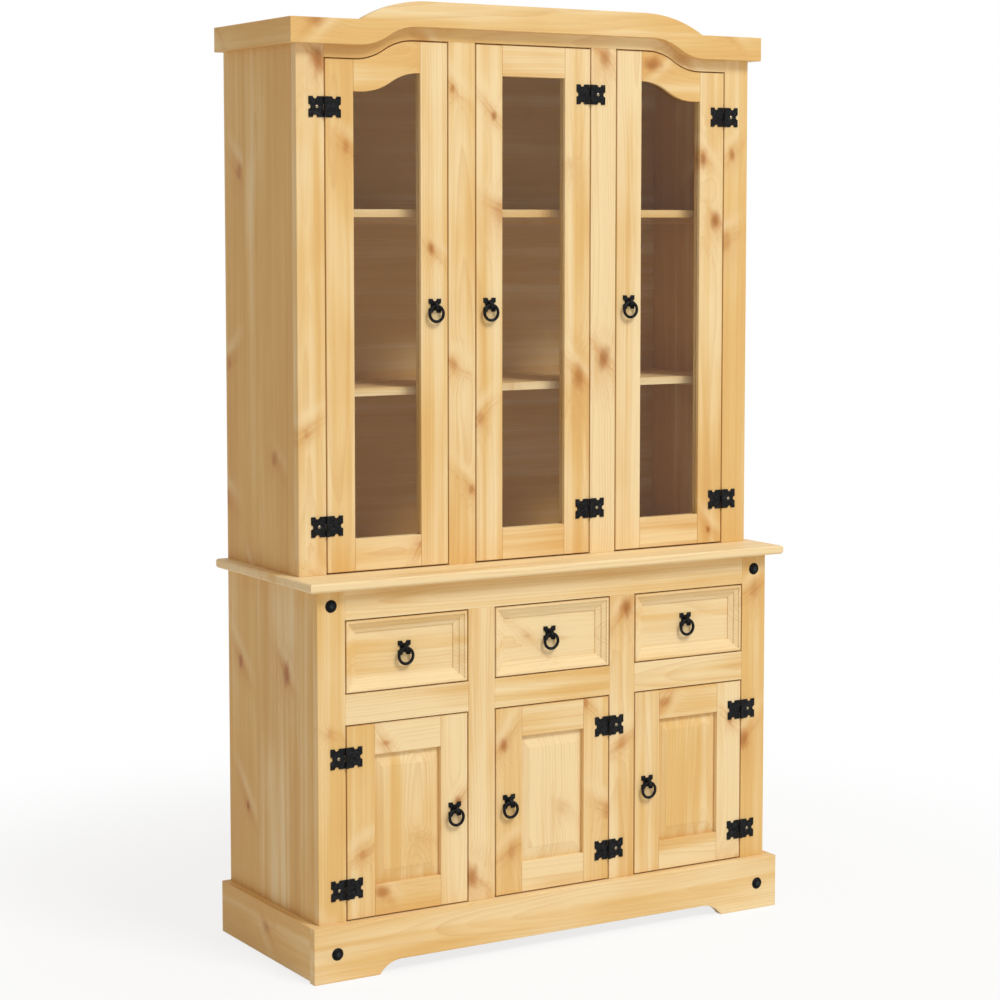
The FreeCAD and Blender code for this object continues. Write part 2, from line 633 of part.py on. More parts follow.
def glazing(name, low_x, high_x, top):
    """Pane in the rebate of a hutch door, and the four beads that hold it from behind."""
    room = "groove_depth - groove_clearance"
    pane = new_body(f"{name}_glass")
    pane_x = (f"{low_x} - ({room})", f"{high_x} + {room}")
    pane_y = ("hutch_face + pane_inset", "pane_back")
    block(pane, "Additive", pane_x, pane_y, (f"pane_low - ({room})", f"{top} + {room}"))
    outer_x = (f"{low_x} - groove_depth", f"{high_x} + groove_depth")
    outer_z = ("pane_low - groove_depth", f"{top} + groove_depth")
    bead_y = ("pane_back", "hutch_inside")
    beads = [
        board(f"{name}_bead_low", outer_x, bead_y, (outer_z[0], "pane_low")),
        board(f"{name}_bead_high", outer_x, bead_y, (top, outer_z[1])),
        board(f"{name}_bead_near", (outer_x[0], low_x), bead_y, ("pane_low", top)),
        board(f"{name}_bead_far", (high_x, outer_x[1]), bead_y, ("pane_low", top)),
    ]
    seat = {"face": "hutch_face", "x": outer_x, "y": (pane_y[0], "hutch_inside"), "z": outer_z}
    return pane, beads, seat


def hutch_doors():
    """A straight-topped door in the middle and arched ones at the ends, each rebated for glass."""
    inner = both("light_half")
    pane, beads, seat = glazing("hutch_door_middle", "-light_half", "light_half", "pane_mid")
    full = ("hutch_door_low", "hutch_door_mid")
    frame = [
        door_member("hutch_middle_stile_left", ("-door_half", "-light_half"), full, seat),
        door_member("hutch_middle_stile_right", ("light_half", "door_half"), full, seat),
        door_member("hutch_middle_foot_rail", inner, ("hutch_door_low", "pane_low"), seat),
        door_member("hutch_middle_head_rail", inner, ("pane_mid", "hutch_door_mid"), seat),
    ]
    node(group("hutch_door_middle_frame", frame + beads))
    node(pane)
    near, far = "pitch - light_half", "pitch + light_half"
    pane, beads, seat = glazing("hutch_door_right", near, far, "pane_mid")
    head = new_body("hutch_right_head_rail")
    corners = [(near, "pane_mid")]
    corners += ogee("pane_ogee_near", "pane_ogee_far", "pane_mid", "pane_end", falling=True)
    corners += [(far, "pane_end"), (far, "hutch_door_end")]
    top = ogee("ogee_near", "ogee_far", "hutch_door_mid", "hutch_door_end", falling=True)
    corners += backwards(top)
    corners += [(near, "hutch_door_mid")]
    pad(head, outline(head, "XZ_Plane", corners), "frame_thickness")
    tie(head, {"Placement.Base.y": "hutch_inside"})
    ease(head)
    back_y = ("pane_inset - frame_thickness", "0")
    block(head, "Subtractive", seat["x"], back_y, seat["z"])
    inner_z = ("hutch_door_low", "hutch_door_mid")
    outer_z = ("hutch_door_low", "hutch_door_end")
    frame = [
        door_member("hutch_right_inner_stile", ("pitch - door_half", near), inner_z, seat),
        door_member("hutch_right_outer_stile", (far, "pitch + door_half"), outer_z, seat),
        door_member("hutch_right_foot_rail", (near, far), ("hutch_door_low", "pane_low"), seat),
        head,
    ]
    right = node(group("hutch_door_right_frame", frame + beads))
    node(pane)
    node(mirrored("hutch_door_left_frame", right))
    node(mirrored("hutch_door_left_glass", pane))


def backwards(corners):
    """The same corners and arcs followed from the last corner to the first."""
    turned = []
    for corner, before in zip(reversed(corners), list(reversed(corners))[1:] + [None]):
        arc = () if before is None or len(before) == 2 else (before[2], before[3])
        opposite = {"left": "right", "right": "left"}
        turned.append(corner[:2] + ((opposite[arc[0]], arc[1]) if arc else ()))
    return turned


def drawers():
    """Three drawers: a moulded front, a four-piece box behind it and an iron pull."""
    front = new_body("drawer_middle_front")
    edge_z = ("front_mid - front_half_height", "front_mid + front_half_height")
    block(front, "Additive", both("door_half"), ("base_face", "base_inside"), edge_z)
    ease(front)
    for ends in zip(MOULDING, MOULDING[1:]):
        (outer_x, outer_z), (inner_x, inner_z) = [moulding_rim(width) for width, depth in ends]
        depths = tuple(f"base_face + moulding_depth * {depth}" for width, depth in ends)
        taper(front, "Subtractive", depths, outer_x, outer_z, inner_x, inner_z)
    groove_z = ("bottom_low", "bottom_low + box_bottom_thickness + groove_clearance")
    along = ("base_inside", "box_back")
    high = "box_low + box_height"
    inner = "box_half - box_thickness"
    side = board("drawer_side_right", (inner, "box_half"), along, ("box_low", high))
    block(side, "Subtractive", (inner, f"{inner} + box_groove_depth"), along, groove_z)
    rear = board("drawer_rear", both(inner), ("box_back - box_thickness", "box_back"), (groove_z[1], high))
    bottom_x = both(f"{inner} + box_groove_depth - groove_clearance")
    bottom_z = ("bottom_low", "bottom_low + box_bottom_thickness")
    bottom = board("drawer_bottom", bottom_x, along, bottom_z)
    box = group("drawer_middle_box", [side, mirrored("drawer_side_left", side), rear, bottom])
    node(front)
    node(box)
    for word, x in (("left", "-pitch"), ("right", "pitch")):
        node(copy(f"drawer_{word}_front", front, x))
        node(copy(f"drawer_{word}_box", box, x))


def moulding_rim(share):
    """Ends in x and in z of the drawer moulding's rectangle at a share of its width."""
    inset = f"moulding_lip + moulding_width * {share}"
    half_height = f"front_half_height - ({inset})"
    return both(f"door_half - ({inset})"), (f"front_mid - ({half_height})", f"front_mid + {half_height}")


def hinge_leaf(name, knuckles, bore):
    """Leaf for a right-hand frame, its axis at the origin and the wood's face at y = 0."""
    leaf = new_body(name)
    far = "leaf_start + leaf_width"
    thick = ("-iron_thickness", "0")
    block(leaf, "Additive", ("leaf_start", far), thick, both("hinge_half"))
    notches = [("leaf_notch_place", "hinge_half"), ("leaf_notch_place", "-hinge_half"), (far, "0")]
    for x, z in notches:
        rod(leaf, "Subtractive", "y", "leaf_notch", x, thick, z)
    tongue_y = ("-iron_thickness", "barrel_radius - barrel_stand")
    for ends in knuckles:
        block(leaf, "Additive", ("0", "leaf_start + iron_thickness"), tongue_y, ends)
        rod(leaf, "Additive", "z", "barrel_radius", "0", "-barrel_stand", ends)
    rod(leaf, "Subtractive", "z", bore, "0", "-barrel_stand", both("hinge_half"))
    return leaf


def pull_plate():
    """Plate with a round notch in each side, and the lug whose eye carries the ring."""
    plate = new_body("pull_plate")
    thick = ("-plate_thickness", "0")
    half = "plate_size / 2"
    block(plate, "Additive", both(half), thick, both(half))
    for x, z in ((half, "0"), (f"-{half}", "0"), ("0", half), ("0", f"-{half}")):
        rod(plate, "Subtractive", "y", "plate_notch", x, thick, z)
    block(plate, "Additive", both("lug_width / 2"), ("-ring_stand", "0"), both("lug_radius"))
    rod(plate, "Additive", "x", "lug_radius", both("lug_width / 2"), "-ring_stand", "0")
    rod(plate, "Subtractive", "x", "eye_radius", both("lug_width / 2"), "-ring_stand", "0")
    return plate


def ring(name, x, face, z):
    """Ring hanging from the eye of its plate, parallel to the front."""
    torus = document.addObject("Part::Torus", name)
    torus.Placement = FreeCAD.Placement(VECTOR(), FORWARDS)
    tie(torus, {"Radius1": "ring_radius", "Radius2": "wire_radius"})
    tie(torus, {"Placement.Base.x": x, "Placement.Base.y": f"{face} - ring_stand"})
    tie(torus, {"Placement.Base.z": f"{z} - ring_radius"})
    return torus


def iron():
    """Hinges and pulls of the six doors, and pulls of the three drawers."""
    outer_ends = [("knuckle_half", "hinge_half"), ("-hinge_half", "-knuckle_half")]
    middle_end = [both("knuckle_half - knuckle_gap")]
    fixed = hinge_leaf("frame_leaf_right", outer_ends, "pin_radius")
    turned = hinge_leaf("door_leaf_left", middle_end, "pin_radius + pin_clearance")
    leaves = {
        "right": (fixed, mirrored("door_leaf_right", turned)),
        "left": (mirrored("frame_leaf_left", fixed), turned),
    }
    pin = document.addObject("Part::Cylinder", "hinge_pin")
    tie(pin, {"Radius": "pin_radius", "Height": "hinge_height"})
    plate = pull_plate()
    frame_leaves = []
    pins = []
    for door in door_list():
        name, face, hung = door["name"], door["face"], door["hung"]
        outwards = "" if hung == "right" else "-"
        axis = f"{door['middle']} + ({outwards}hinge_edge)"
        members = []
        for word, z in door["hinges"]:
            frame_leaves.append(copy(f"{name}_frame_leaf_{word}", leaves[hung][0], axis, face, z))
            members.append(copy(f"{name}_leaf_{word}", leaves[hung][1], axis, face, z))
            pins.append(copy(f"{name}_pin_{word}", pin, axis, f"{face} - barrel_stand", f"{z} - hinge_half"))
        pull = f"{door['middle']} - ({outwards}pull_side)"
        members.append(copy(f"{name}_plate", plate, pull, face, door["pull"]))
        members.append(strike(door, "" if hung == "left" else "-"))
        node(group(f"{name}_iron", members))
        node(ring(f"{name}_ring", pull, face, door["pull"]))
    for word, x in (("left", "-pitch"), ("middle", "0"), ("right", "pitch")):
        node(copy(f"drawer_{word}_plate", plate, x, "drawer_field", "drawer_pull"))
        node(ring(f"drawer_{word}_ring", x, "drawer_field", "drawer_pull"))
    node(group("hinge_frame_leaves", frame_leaves))
    node(group("hinge_pins", pins))


def door_list():
    """The six doors: where each hangs, its hinges from top to bottom, its pull and its catch."""
    doors = []
    bays = [("left", "-pitch", "left"), ("middle", "0", "right"), ("right", "pitch", "right")]
    for word, middle, hung in bays:
        top = "hutch_door_mid" if word == "middle" else "hutch_door_end"
        hinges = [("high", f"{top} - hutch_hinge_inset"), ("low", "hutch_door_low + hutch_hinge_inset")]
        place = {"name": f"hutch_door_{word}", "face": "hutch_face", "hung": hung, "middle": middle}
        doors.append({**place, "hinges": hinges, "pull": "hutch_pull", "top": "hutch_door_mid"})
        hinges = [("high", "base_door_high - base_hinge_inset"), ("low", "base_door_low + base_hinge_inset")]
        place = {"name": f"base_door_{word}", "face": "base_face", "hung": hung, "middle": middle}
        doors.append({**place, "hinges": hinges, "pull": "base_door_mid", "top": "base_door_high"})
    return doors


def catch_heights(door):
    """Lower and upper end of a door's catch."""
    middle = f"{door['top']} - catch_drop"
    return f"{middle} - catch_height / 2", f"{middle} + catch_height / 2"


def strike(door, side):
    """Thin plate on the back of a door that its catch holds."""
    plate = new_body(f"{door['name']}_strike")
    outer = f"{door['middle']} + ({side}door_half)"
    inner = f"{door['middle']} + ({side}(bay_width / 2 - catch_reach))"
    x = (inner, outer) if side == "" else (outer, inner)
    rear = f"{door['face']} + frame_thickness"
    block(plate, "Additive", x, (rear, f"{rear} + strike_thickness"), catch_heights(door))
    return plate


def catches():
    """Magnetic catches on the backs of the posts, one for each door's free edge."""
    blocks = []
    for door in door_list():
        catch = new_body(f"{door['name']}_catch")
        z = catch_heights(door)
        rear = f"{door['face']} + frame_thickness"
        deep = f"{rear} + catch_depth"
        clear = f"{rear} + strike_thickness + strike_gap"
        edge, reach, seat = "bay_width / 2", "bay_width / 2 - catch_reach", "bay_width / 2 + catch_seat"
        if door["hung"] == "left":
            spans = [(edge, seat), (reach, edge)]
        else:
            spans = [(f"-({seat})", f"-({edge})"), (f"-({edge})", f"-({reach})")]
        on_post, on_door = [tuple(f"{door['middle']} + ({end})" for end in ends) for ends in spans]
        block(catch, "Additive", on_post, (rear, deep), z)
        block(catch, "Additive", on_door, (clear, deep), z)
        blocks.append(catch)
    node(group("magnetic_catches", blocks))


def studs():
    """Forged iron studs with a sloped rim and a low crown, on the upper corners and on the plinth."""
    heads = []
    rim = ("stud_radius", "stud_top", "0", "stud_rim")
    crown = ("stud_top", "stud_flat", "stud_rim", "stud_height")
    spots = [
        ("upper", "carcass_half - stile_width / 2", "base_face", "base_height - stud_drop"),
        ("lower", "plinth_half - plinth_stud_inset", "base_face - plinth_thickness", "plinth_height / 2"),
    ]
    for word, x, face, z in spots:
        for side, sign in (("left", "-"), ("right", "")):
            head = new_body(f"stud_{word}_{side}")
            for wide, narrow, low, high in (rim, crown):
                cone = head.newObject("PartDesign::AdditiveCone", f"{head.Name}_cone")
                cone.Placement = FreeCAD.Placement(VECTOR(), FORWARDS)
                tie(cone, {"Radius1": wide, "Radius2": narrow, "Height": f"{high} - {low}"})
                tie(cone, {"Placement.Base.x": f"{sign}({x})", "Placement.Base.z": z})
                tie(cone, {"Placement.Base.y": f"{face} - {low}"})
            heads.append(head)
    node(group("iron_studs", heads))


def check_and_write():
    """Stop on any failed object or bad shape, then write one file for each sub-part."""
    failed = [thing.Name for thing in document.Objects if {"Invalid", "Error"} & set(thing.State)]
    if failed:
        raise RuntimeError(f"failed objects: {failed}")
    shapes = {thing.Label: Part.getShape(thing) for thing in nodes}
    bad = [name for name, shape in shapes.items() if not (shape.Solids and shape.isValid())]
    if bad:
        raise RuntimeError(f"bad shapes: {bad}")
    os.makedirs("parts", exist_ok=True)
    for name, shape in shapes.items():
        shape.exportStep(f"parts/{name}.step")
    solids = sum(len(shape.Solids) for shape in shapes.values())
    box = Part.makeCompound(list(shapes.values())).BoundBox
    print(f"{len(shapes)} sub-parts, {solids} solids")
    print(f"overall {box.XLength:.1f} x {box.YLength:.1f} x {box.ZLength:.1f} mm")


fill_sheets()
sideboard_carcass()
worktop()
plinth()
drawer_runners()
hutch_carcass()
cornice()
shelves()
base_doors()
hutch_doors()
drawers()
iron()
catches()
studs()
document.recompute()
check_and_write()
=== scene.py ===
# %% [markdown]
# # Dressing a pine highboard
# The highboard is a glazed hutch on a sideboard, in pale knotty pine with black iron fittings. Its boards,
# doors, drawers and hinges come from CAD as solids that already stand in their places, in metres. This
# lesson adds what the solids lack: a camera, light, the screws, and above all the finishes. A cabinet is
# mostly flat boards, so the grain of the wood is what makes it look real.

# %% Load the solids
import json
import math
import bpy
import numpy as np
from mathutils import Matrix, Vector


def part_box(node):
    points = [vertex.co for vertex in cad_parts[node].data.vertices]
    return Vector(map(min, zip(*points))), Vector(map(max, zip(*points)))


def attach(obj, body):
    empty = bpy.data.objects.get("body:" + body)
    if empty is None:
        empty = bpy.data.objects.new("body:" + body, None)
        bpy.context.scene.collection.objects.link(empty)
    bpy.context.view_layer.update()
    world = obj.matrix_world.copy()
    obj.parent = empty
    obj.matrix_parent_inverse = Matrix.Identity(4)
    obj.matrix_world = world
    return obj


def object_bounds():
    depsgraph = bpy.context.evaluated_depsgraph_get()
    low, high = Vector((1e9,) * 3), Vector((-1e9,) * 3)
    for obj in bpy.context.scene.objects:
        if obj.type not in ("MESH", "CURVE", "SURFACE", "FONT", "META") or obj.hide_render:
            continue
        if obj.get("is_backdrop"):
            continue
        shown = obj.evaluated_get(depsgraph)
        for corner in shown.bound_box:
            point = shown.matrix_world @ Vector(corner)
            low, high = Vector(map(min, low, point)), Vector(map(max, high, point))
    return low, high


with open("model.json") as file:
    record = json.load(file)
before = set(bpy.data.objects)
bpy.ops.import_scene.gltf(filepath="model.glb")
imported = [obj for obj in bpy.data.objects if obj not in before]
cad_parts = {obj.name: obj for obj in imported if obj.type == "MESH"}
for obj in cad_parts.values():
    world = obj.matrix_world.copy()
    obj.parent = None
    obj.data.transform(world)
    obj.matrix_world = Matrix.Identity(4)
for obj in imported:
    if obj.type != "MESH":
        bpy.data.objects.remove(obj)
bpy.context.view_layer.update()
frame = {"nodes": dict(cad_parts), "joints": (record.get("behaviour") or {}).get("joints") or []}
nodes = frame["nodes"]

# %% [markdown]
# ## The camera
# The photograph was taken from the left with a long lens, held level, and its frame reaches further down than
# up. A camera can be aimed by eye, or worked out from corners whose real places are known. The second way was
# chosen: the corners of the worktop, plinth and cornice gave the place, the turn and the lens. The frame is a
# square of 1000 pixels, so a focal length in pixels turns into a lens by the width of the sensor. The shift
# keeps the uprights nearly parallel. A larger one would push the highboard out of the frame in other views,
# so the camera is also tilted a little down.

# %% Camera
PICTURE_PIXELS = 1000
SENSOR_WIDTH = 36.0
FOCAL_PIXELS = 2479
CAMERA_PLACE = (-2.651, -4.385, 1.465)
CAMERA_TURN = 31.03
CAMERA_PITCH = 4.82
CAMERA_SHIFT = -0.069

lens = bpy.data.cameras.new("camera")
lens.sensor_width = SENSOR_WIDTH
lens.lens = FOCAL_PIXELS * SENSOR_WIDTH / PICTURE_PIXELS
lens.shift_y = CAMERA_SHIFT
camera = bpy.data.objects.new("camera", lens)
camera.location = CAMERA_PLACE
camera.rotation_euler = (math.radians(90 - CAMERA_PITCH), 0, -math.radians(CAMERA_TURN))
bpy.context.scene.collection.objects.link(camera)
bpy.context.scene.camera = camera
bpy.context.scene.view_settings.view_transform = "Standard"
print(f"camera with a {lens.lens:.1f} mm lens")

# %% [markdown]
# ## Formulas as nodes
# A material in Blender is a graph of nodes. Clicking dozens of Math nodes together is slow and hard to read,
# so this class wraps one output socket and lets Python's own operators add the nodes. Writing 1 - mask then
# adds a Subtract node. Any other node comes from the method called node.

# %% A socket that can be used in a formula
class Value:
    """What one socket gives. Each operator adds one Math node to the same node tree."""

    def __init__(self, tree, socket=None):
        self.tree = tree
        self.socket = socket

    def node(self, kind, settings=None, sockets=None, output=0):
        """Add a node of any type: its settings first, then the values or links of its sockets."""
        made = self.tree.nodes.new(kind)
        for name, setting in (settings or {}).items():
            setattr(made, name, setting)
        for name, given in (sockets or {}).items():
            if isinstance(given, Value):
                self.tree.links.new(given.socket, made.inputs[name])
            else:
                made.inputs[name].default_value = given
        return Value(self.tree, made.outputs[output])

    def other(self, output):
        """Another output of the node that gives this value."""
        return Value(self.tree, self.socket.node.outputs[output])

    def maths(self, operation, *others):
        """A Math node with this value first."""
        return self.node("ShaderNodeMath", {"operation": operation}, dict(enumerate((self, *others))))

    def __add__(self, other):
        return self.maths("ADD", other)

    def __sub__(self, other):
        return self.maths("SUBTRACT", other)

    def __rsub__(self, other):
        return self.node("ShaderNodeMath", {"operation": "SUBTRACT"}, {0: other, 1: self})

    def __mul__(self, other):
        return self.maths("MULTIPLY", other)

    def __truediv__(self, other):
        return self.maths("DIVIDE", other)

    def __pow__(self, other):
        return self.maths("POWER", other)

    def __lt__(self, other):
        return self.maths("LESS_THAN", other)

    def __gt__(self, other):
        return self.maths("GREATER_THAN", other)

    def __abs__(self):
        return self.maths("ABSOLUTE")

    __radd__ = __add__
    __rmul__ = __mul__


print("formulas ready")

# %% [markdown]
# ## Steps, blends and noise
# Most finishes are made of a few moves: a soft step between two levels, a blend of two colours, a choice
# between two numbers, and smooth noise. Colour ramps could do the first two, but their stops hide in the
# node. As short functions the moves keep their limits in sight, and a finish reads like a recipe.

# %% Moves
MIX_SHARE = 0
MIX_FIRST = 6
MIX_SECOND = 7
MIX_RESULT = 2


def builder(*parts):
    """The first of the parts that is a Value, and so can add nodes."""
    return next(part for part in parts if isinstance(part, Value))


def rise(value, low, high):
    """0 below low, 1 above high, and a smooth S-curve between them."""
    settings = {"interpolation_type": "SMOOTHSTEP"}
    return value.node("ShaderNodeMapRange", settings, {"Value": value, "From Min": low, "From Max": high})


def blend(share, first, second, kind="MIX"):
    """A colour that goes from first to second as share goes from 0 to 1, or first times second."""
    settings = {"data_type": "RGBA", "blend_type": kind}
    sockets = {MIX_SHARE: share, MIX_FIRST: first, MIX_SECOND: second}
    return builder(share, first).node("ShaderNodeMix", settings, sockets, MIX_RESULT)


def pick(mask, off, on):
    """The number off where mask is 0, and the number on where mask is 1."""
    return off + (on - off) * mask


def point(x, y, z):
    """A vector from three numbers, at least one of them a Value."""
    return builder(x, y, z).node("ShaderNodeCombineXYZ", {}, {"X": x, "Y": y, "Z": z})


def cloud(place, lumps=1.0, detail=2.0):
    """Smooth noise from 0 to 1 around 0.5, with so many lumps to each unit of place."""
    return place.node("ShaderNodeTexNoise", {}, {"Vector": place, "Scale": lumps, "Detail": detail})


def relief(height, strength, distance):
    """A normal that leans as a surface with this height would, the distance in metres."""
    sockets = {"Strength": strength, "Distance": distance, "Height": height}
    return height.node("ShaderNodeBump", {}, sockets, "Normal")


print("moves ready")

# %% [markdown]
# ## Starting a finish
# Every finish starts from the same bare shader and from the place in the solid. Object coordinates are used
# for that place: a door carries its grain with it when it swings, and no solid needs a UV map. Colours are
# given as they look on a screen, so they are turned into the linear numbers that light is reckoned in.

# %% Materials
def paint(red, green, blue):
    """A colour in screen numbers from 0 to 255, made linear by the sRGB formula."""
    screen = np.array([red, green, blue]) / 255
    linear = np.where(screen > 0.04045, ((screen + 0.055) / 1.055) ** 2.4, screen / 12.92)
    return (*linear.tolist(), 1.0)


def finish(name):
    """A new material with a bare Principled shader: the material, the shader and the place in the solid."""
    material = bpy.data.materials.new(name)
    material.use_nodes = True
    shader = next(part for part in material.node_tree.nodes if part.type == "BSDF_PRINCIPLED")
    return material, shader, Value(material.node_tree).node("ShaderNodeTexCoord", output="Object")


def feed(value, shader, socket):
    """Link a value to one socket of a shader."""
    value.tree.links.new(value.socket, shader.inputs[socket])


def output_of(material):
    """The node that ends a material."""
    return next(part for part in material.node_tree.nodes if part.type == "OUTPUT_MATERIAL")


print("materials ready")

# %% [markdown]
# ## Knotty pine
# A board is a slice of a log, so its figure can be worked out instead of drawn. A picture of wood would be
# quicker, but it shows the same board everywhere and needs a UV map. Here colour is a function of the place
# in the board: so far along the grain, so far across it, and so deep. Noise makes every board its own. It is
# long along the grain and narrow across it, and the number of the board moves it on to another part.

# %% Noise in a board
LUMPS = {
    "curl": (16.0, 22.0, 0.0, 1.0, 2.0),
    "brush": (140.0, 14.0, 0.0, 1.0, 3.0),
    "ragged": (50.0, 110.0, 0.0, 1.0, 3.0),
    "drift": (1.3, 6.0, 0.0, 5.1, 2.0),
    "waver": (9.0, 30.0, 0.0, 2.3, 2.0),
    "streak": (0.8, 34.0, 34.0, 3.3, 3.0),
    "patch": (3.0, 9.0, 0.0, 8.7, 2.0),
    "fibre": (14.0, 520.0, 520.0, 0.0, 2.0),
}


def wood_noise(name, along, across, number, depth=None):
    """Noise from 0 to 1. LUMPS gives the lumps to the metre along, across and into the board, the step
    from one board's number to the next, and the detail."""
    lengthwise, crosswise, inwards, step, detail = LUMPS[name]
    third = number * step
    if depth is not None:
        third = third + depth * inwards
    return cloud(point(along * lengthwise, across * crosswise, third), detail=detail)


def draws(value, number):
    """Three random numbers from 0 to 1, the same wherever number is the same."""
    chance = value.node("ShaderNodeTexWhiteNoise", {"noise_dimensions": "1D"}, {"W": number}, "Color")
    red = value.node("ShaderNodeSeparateColor", {}, {"Color": chance})
    return red, red.other("Green"), red.other("Blue")


print(f"{len(LUMPS)} noises for wood")

# %% [markdown]
# ## Knots
# A knot is the root of a branch, and a pine board has one every hand or two. Knots could be set by hand, one
# by one. Here each stretch of a board draws one by lot, so that no two boards are alike. Knots fade towards
# the ends of their stretch, so that none is cut off there.

# %% Where the knots are
KNOT_SPACING = 0.3
BOARD_STEP = 17.3
KNOT_SHARE = 0.72
KNOTTY_SHARE = 0.35
KNOT_FADE = (0.02, 0.2)
FRESH_STEP = 53.0
SIDE_STEP = 37.0
SMALLEST_KNOT = 0.005
KNOT_RANGE = 0.011
KNOT_SIZE = 0.7
KNOTTY_SIZE = 0.6


def bell(distance, *others):
    """1 where every distance is 0, and down to 0 as they grow: exp(-(a^2 + b^2 + ...))."""
    total = sum((other ** 2 for other in others), distance ** 2)
    return (total * -1).maths("EXPONENT")


def knot_draw(along, number, width, knotty):
    """One knot for each stretch of a board: if it is present, a draw for its looks, its side (-1 or 1),
    its radius, its place across a board of this width, and the distance from it along the board."""
    place = along / KNOT_SPACING + number * BOARD_STEP
    stretch = {"W": place, "Scale": 1.0}
    centre = along.node("ShaderNodeTexVoronoi", {"voronoi_dimensions": "1D"}, stretch, "W")
    settings = {"voronoi_dimensions": "1D", "feature": "DISTANCE_TO_EDGE"}
    room = along.node("ShaderNodeTexVoronoi", settings, stretch, "Distance")
    draw = along.node("ShaderNodeSeparateColor", {}, {"Color": centre.other("Color")})
    present = (draw > KNOT_SHARE - KNOTTY_SHARE * knotty) * rise(room, *KNOT_FADE)
    fresh = (draw * FRESH_STEP).maths("FRACT")
    side = pick((draw * SIDE_STEP).maths("FRACT") > 0.5, -1.0, 1.0)
    radius = (SMALLEST_KNOT + draw.other("Blue") ** 2.0 * KNOT_RANGE) * (KNOT_SIZE + KNOTTY_SIZE * knotty)
    aside = (draw.other("Green") - 0.5) * width
    return present, fresh, side, radius, aside, (place - centre) * KNOT_SPACING


print(f"a knot may come every {KNOT_SPACING} m")

# %% [markdown]
# ## What a knot looks like
# On the face of a board a knot is a ragged ellipse, darkest in its heart. The grain dives round it in a
# slanted band with a paler one beside it. A dark spot alone would look like a stain, because the eye looks
# for the bent grain. So each of these gets a mask of its own, which is a bell or a step over a distance.

# %% What a knot looks like
KNOT_STRETCH = 0.62
CURL_ASIDE = 0.014
CURL_ALONG = 0.02
SLANT_LEAST = 0.5
SLANT_RANGE = 0.7
BRUSH_STEP = (0.25, 0.7)
BAND_HALF = 0.016
BAND_REACH = 0.05
BAND_GAP = 0.034
RAGGED_LEAST = 0.5
SWELL_REACH = 2.4
CORE_STEP = (0.3, 1.3)
HEART_STEP = (0.05, 0.75)
HEART_DRAW = (0.35, 1.0)


def knots(along, across, number, width, knotty):
    """Masks of a board's knots: swell, core, heart, band and pale, and one draw for each knot, fresh.

    Core: a ragged ellipse along the grain, with a dark heart in some. Swell: a bell round it.
    Band: a bell across a slanted line through the knot, where the grain dives. Pale: a bell beside that line.
    """
    present, fresh, side, radius, aside, step = knot_draw(along, number, width, knotty)
    curl = wood_noise("curl", along, across, number) - 0.5
    beside = across - aside + curl * CURL_ASIDE
    slanted = step + side * (SLANT_LEAST + fresh * SLANT_RANGE) * beside + curl * CURL_ALONG
    brushed = rise(wood_noise("brush", slanted, beside, number), *BRUSH_STEP)
    band = present * bell(slanted / BAND_HALF, beside / BAND_REACH) * brushed
    pale = present * bell((slanted - BAND_GAP) / BAND_HALF, beside / BAND_REACH)
    ragged = RAGGED_LEAST + wood_noise("ragged", along, across, number)
    away = ((step * KNOT_STRETCH) ** 2 + beside ** 2).maths("SQRT") / radius * ragged
    swell = present * bell(away / SWELL_REACH)
    core = present * (1.0 - rise(away, *CORE_STEP))
    heart = present * (1.0 - rise(away, *HEART_STEP)) * rise(fresh, *HEART_DRAW)
    return swell, core, heart, band, pale, fresh


print("knots ready")

# %% [markdown]
# ## Growth rings
# Rings are shells round the pith of the log: a pale band grows in spring and a darker one in late summer. How
# far a place is from the pith tells which ring it is in. The pith is a line that runs along the board below
# its face. Where it leans, the face cuts the shells into the tall arches that joiners call cathedrals, and
# along the edges the rings lie close and straight. A wave texture gives only straight or round stripes.

# %% Rings
RING_WIDTH = 0.0062
PITH_ASIDE = 0.09
PITH_LEAST = 0.018
PITH_RANGE = 0.05
PITH_LEAN = 0.06
DRIFT_ASIDE = 0.02
DRIFT_DEEP = 0.06
WAVER = 0.0024
SWELL_RINGS = 2.5
BAND_RINGS = 1.4
LATE_POWER = 1.7
LATE_END = (0.9, 1.0)
YEAR_LEAST = 0.2


def rings(along, across, depth, number, lots, drift, swell, band):
    """How much late wood shows, from 0 to 1, rising through each ring as the power LATE_POWER of its share.

    Distance from the pith = sqrt((across - a)^2 + (depth + b + lean * along)^2), plus slow noise; a, b and
    lean come from the board's lots. Rings = distance / RING_WIDTH, and more of them close to a knot.
    """
    first, second, third = lots
    aside = across - (first - 0.5) * PITH_ASIDE + drift * DRIFT_ASIDE
    pith = PITH_LEAST + second * PITH_RANGE + (third - 0.5) * PITH_LEAN * along
    deep = depth + pith + drift * DRIFT_DEEP
    waver = wood_noise("waver", along, across, number) - 0.5
    reach = (aside ** 2 + deep ** 2).maths("SQRT") + waver * WAVER
    ring = reach / RING_WIDTH + swell * SWELL_RINGS + band * BAND_RINGS
    shade = ring.maths("FRACT")
    tick = {"W": ring.maths("FLOOR") + number}
    year = along.node("ShaderNodeTexWhiteNoise", {"noise_dimensions": "1D"}, tick)
    return shade ** LATE_POWER * (1.0 - rise(shade, *LATE_END)) * (YEAR_LEAST + year * (1 - YEAR_LEAST))


print(f"rings of {RING_WIDTH * 1000} mm")

# %% [markdown]
# ## The colour of pine
# Waxed pine is pale in the sapwood and honey-coloured in the heartwood, with amber streaks and brown late
# wood. One colour with noise in its brightness would look like plastic, because real wood changes in hue. So
# six colours are laid over each other, the broad changes first and the knots last.

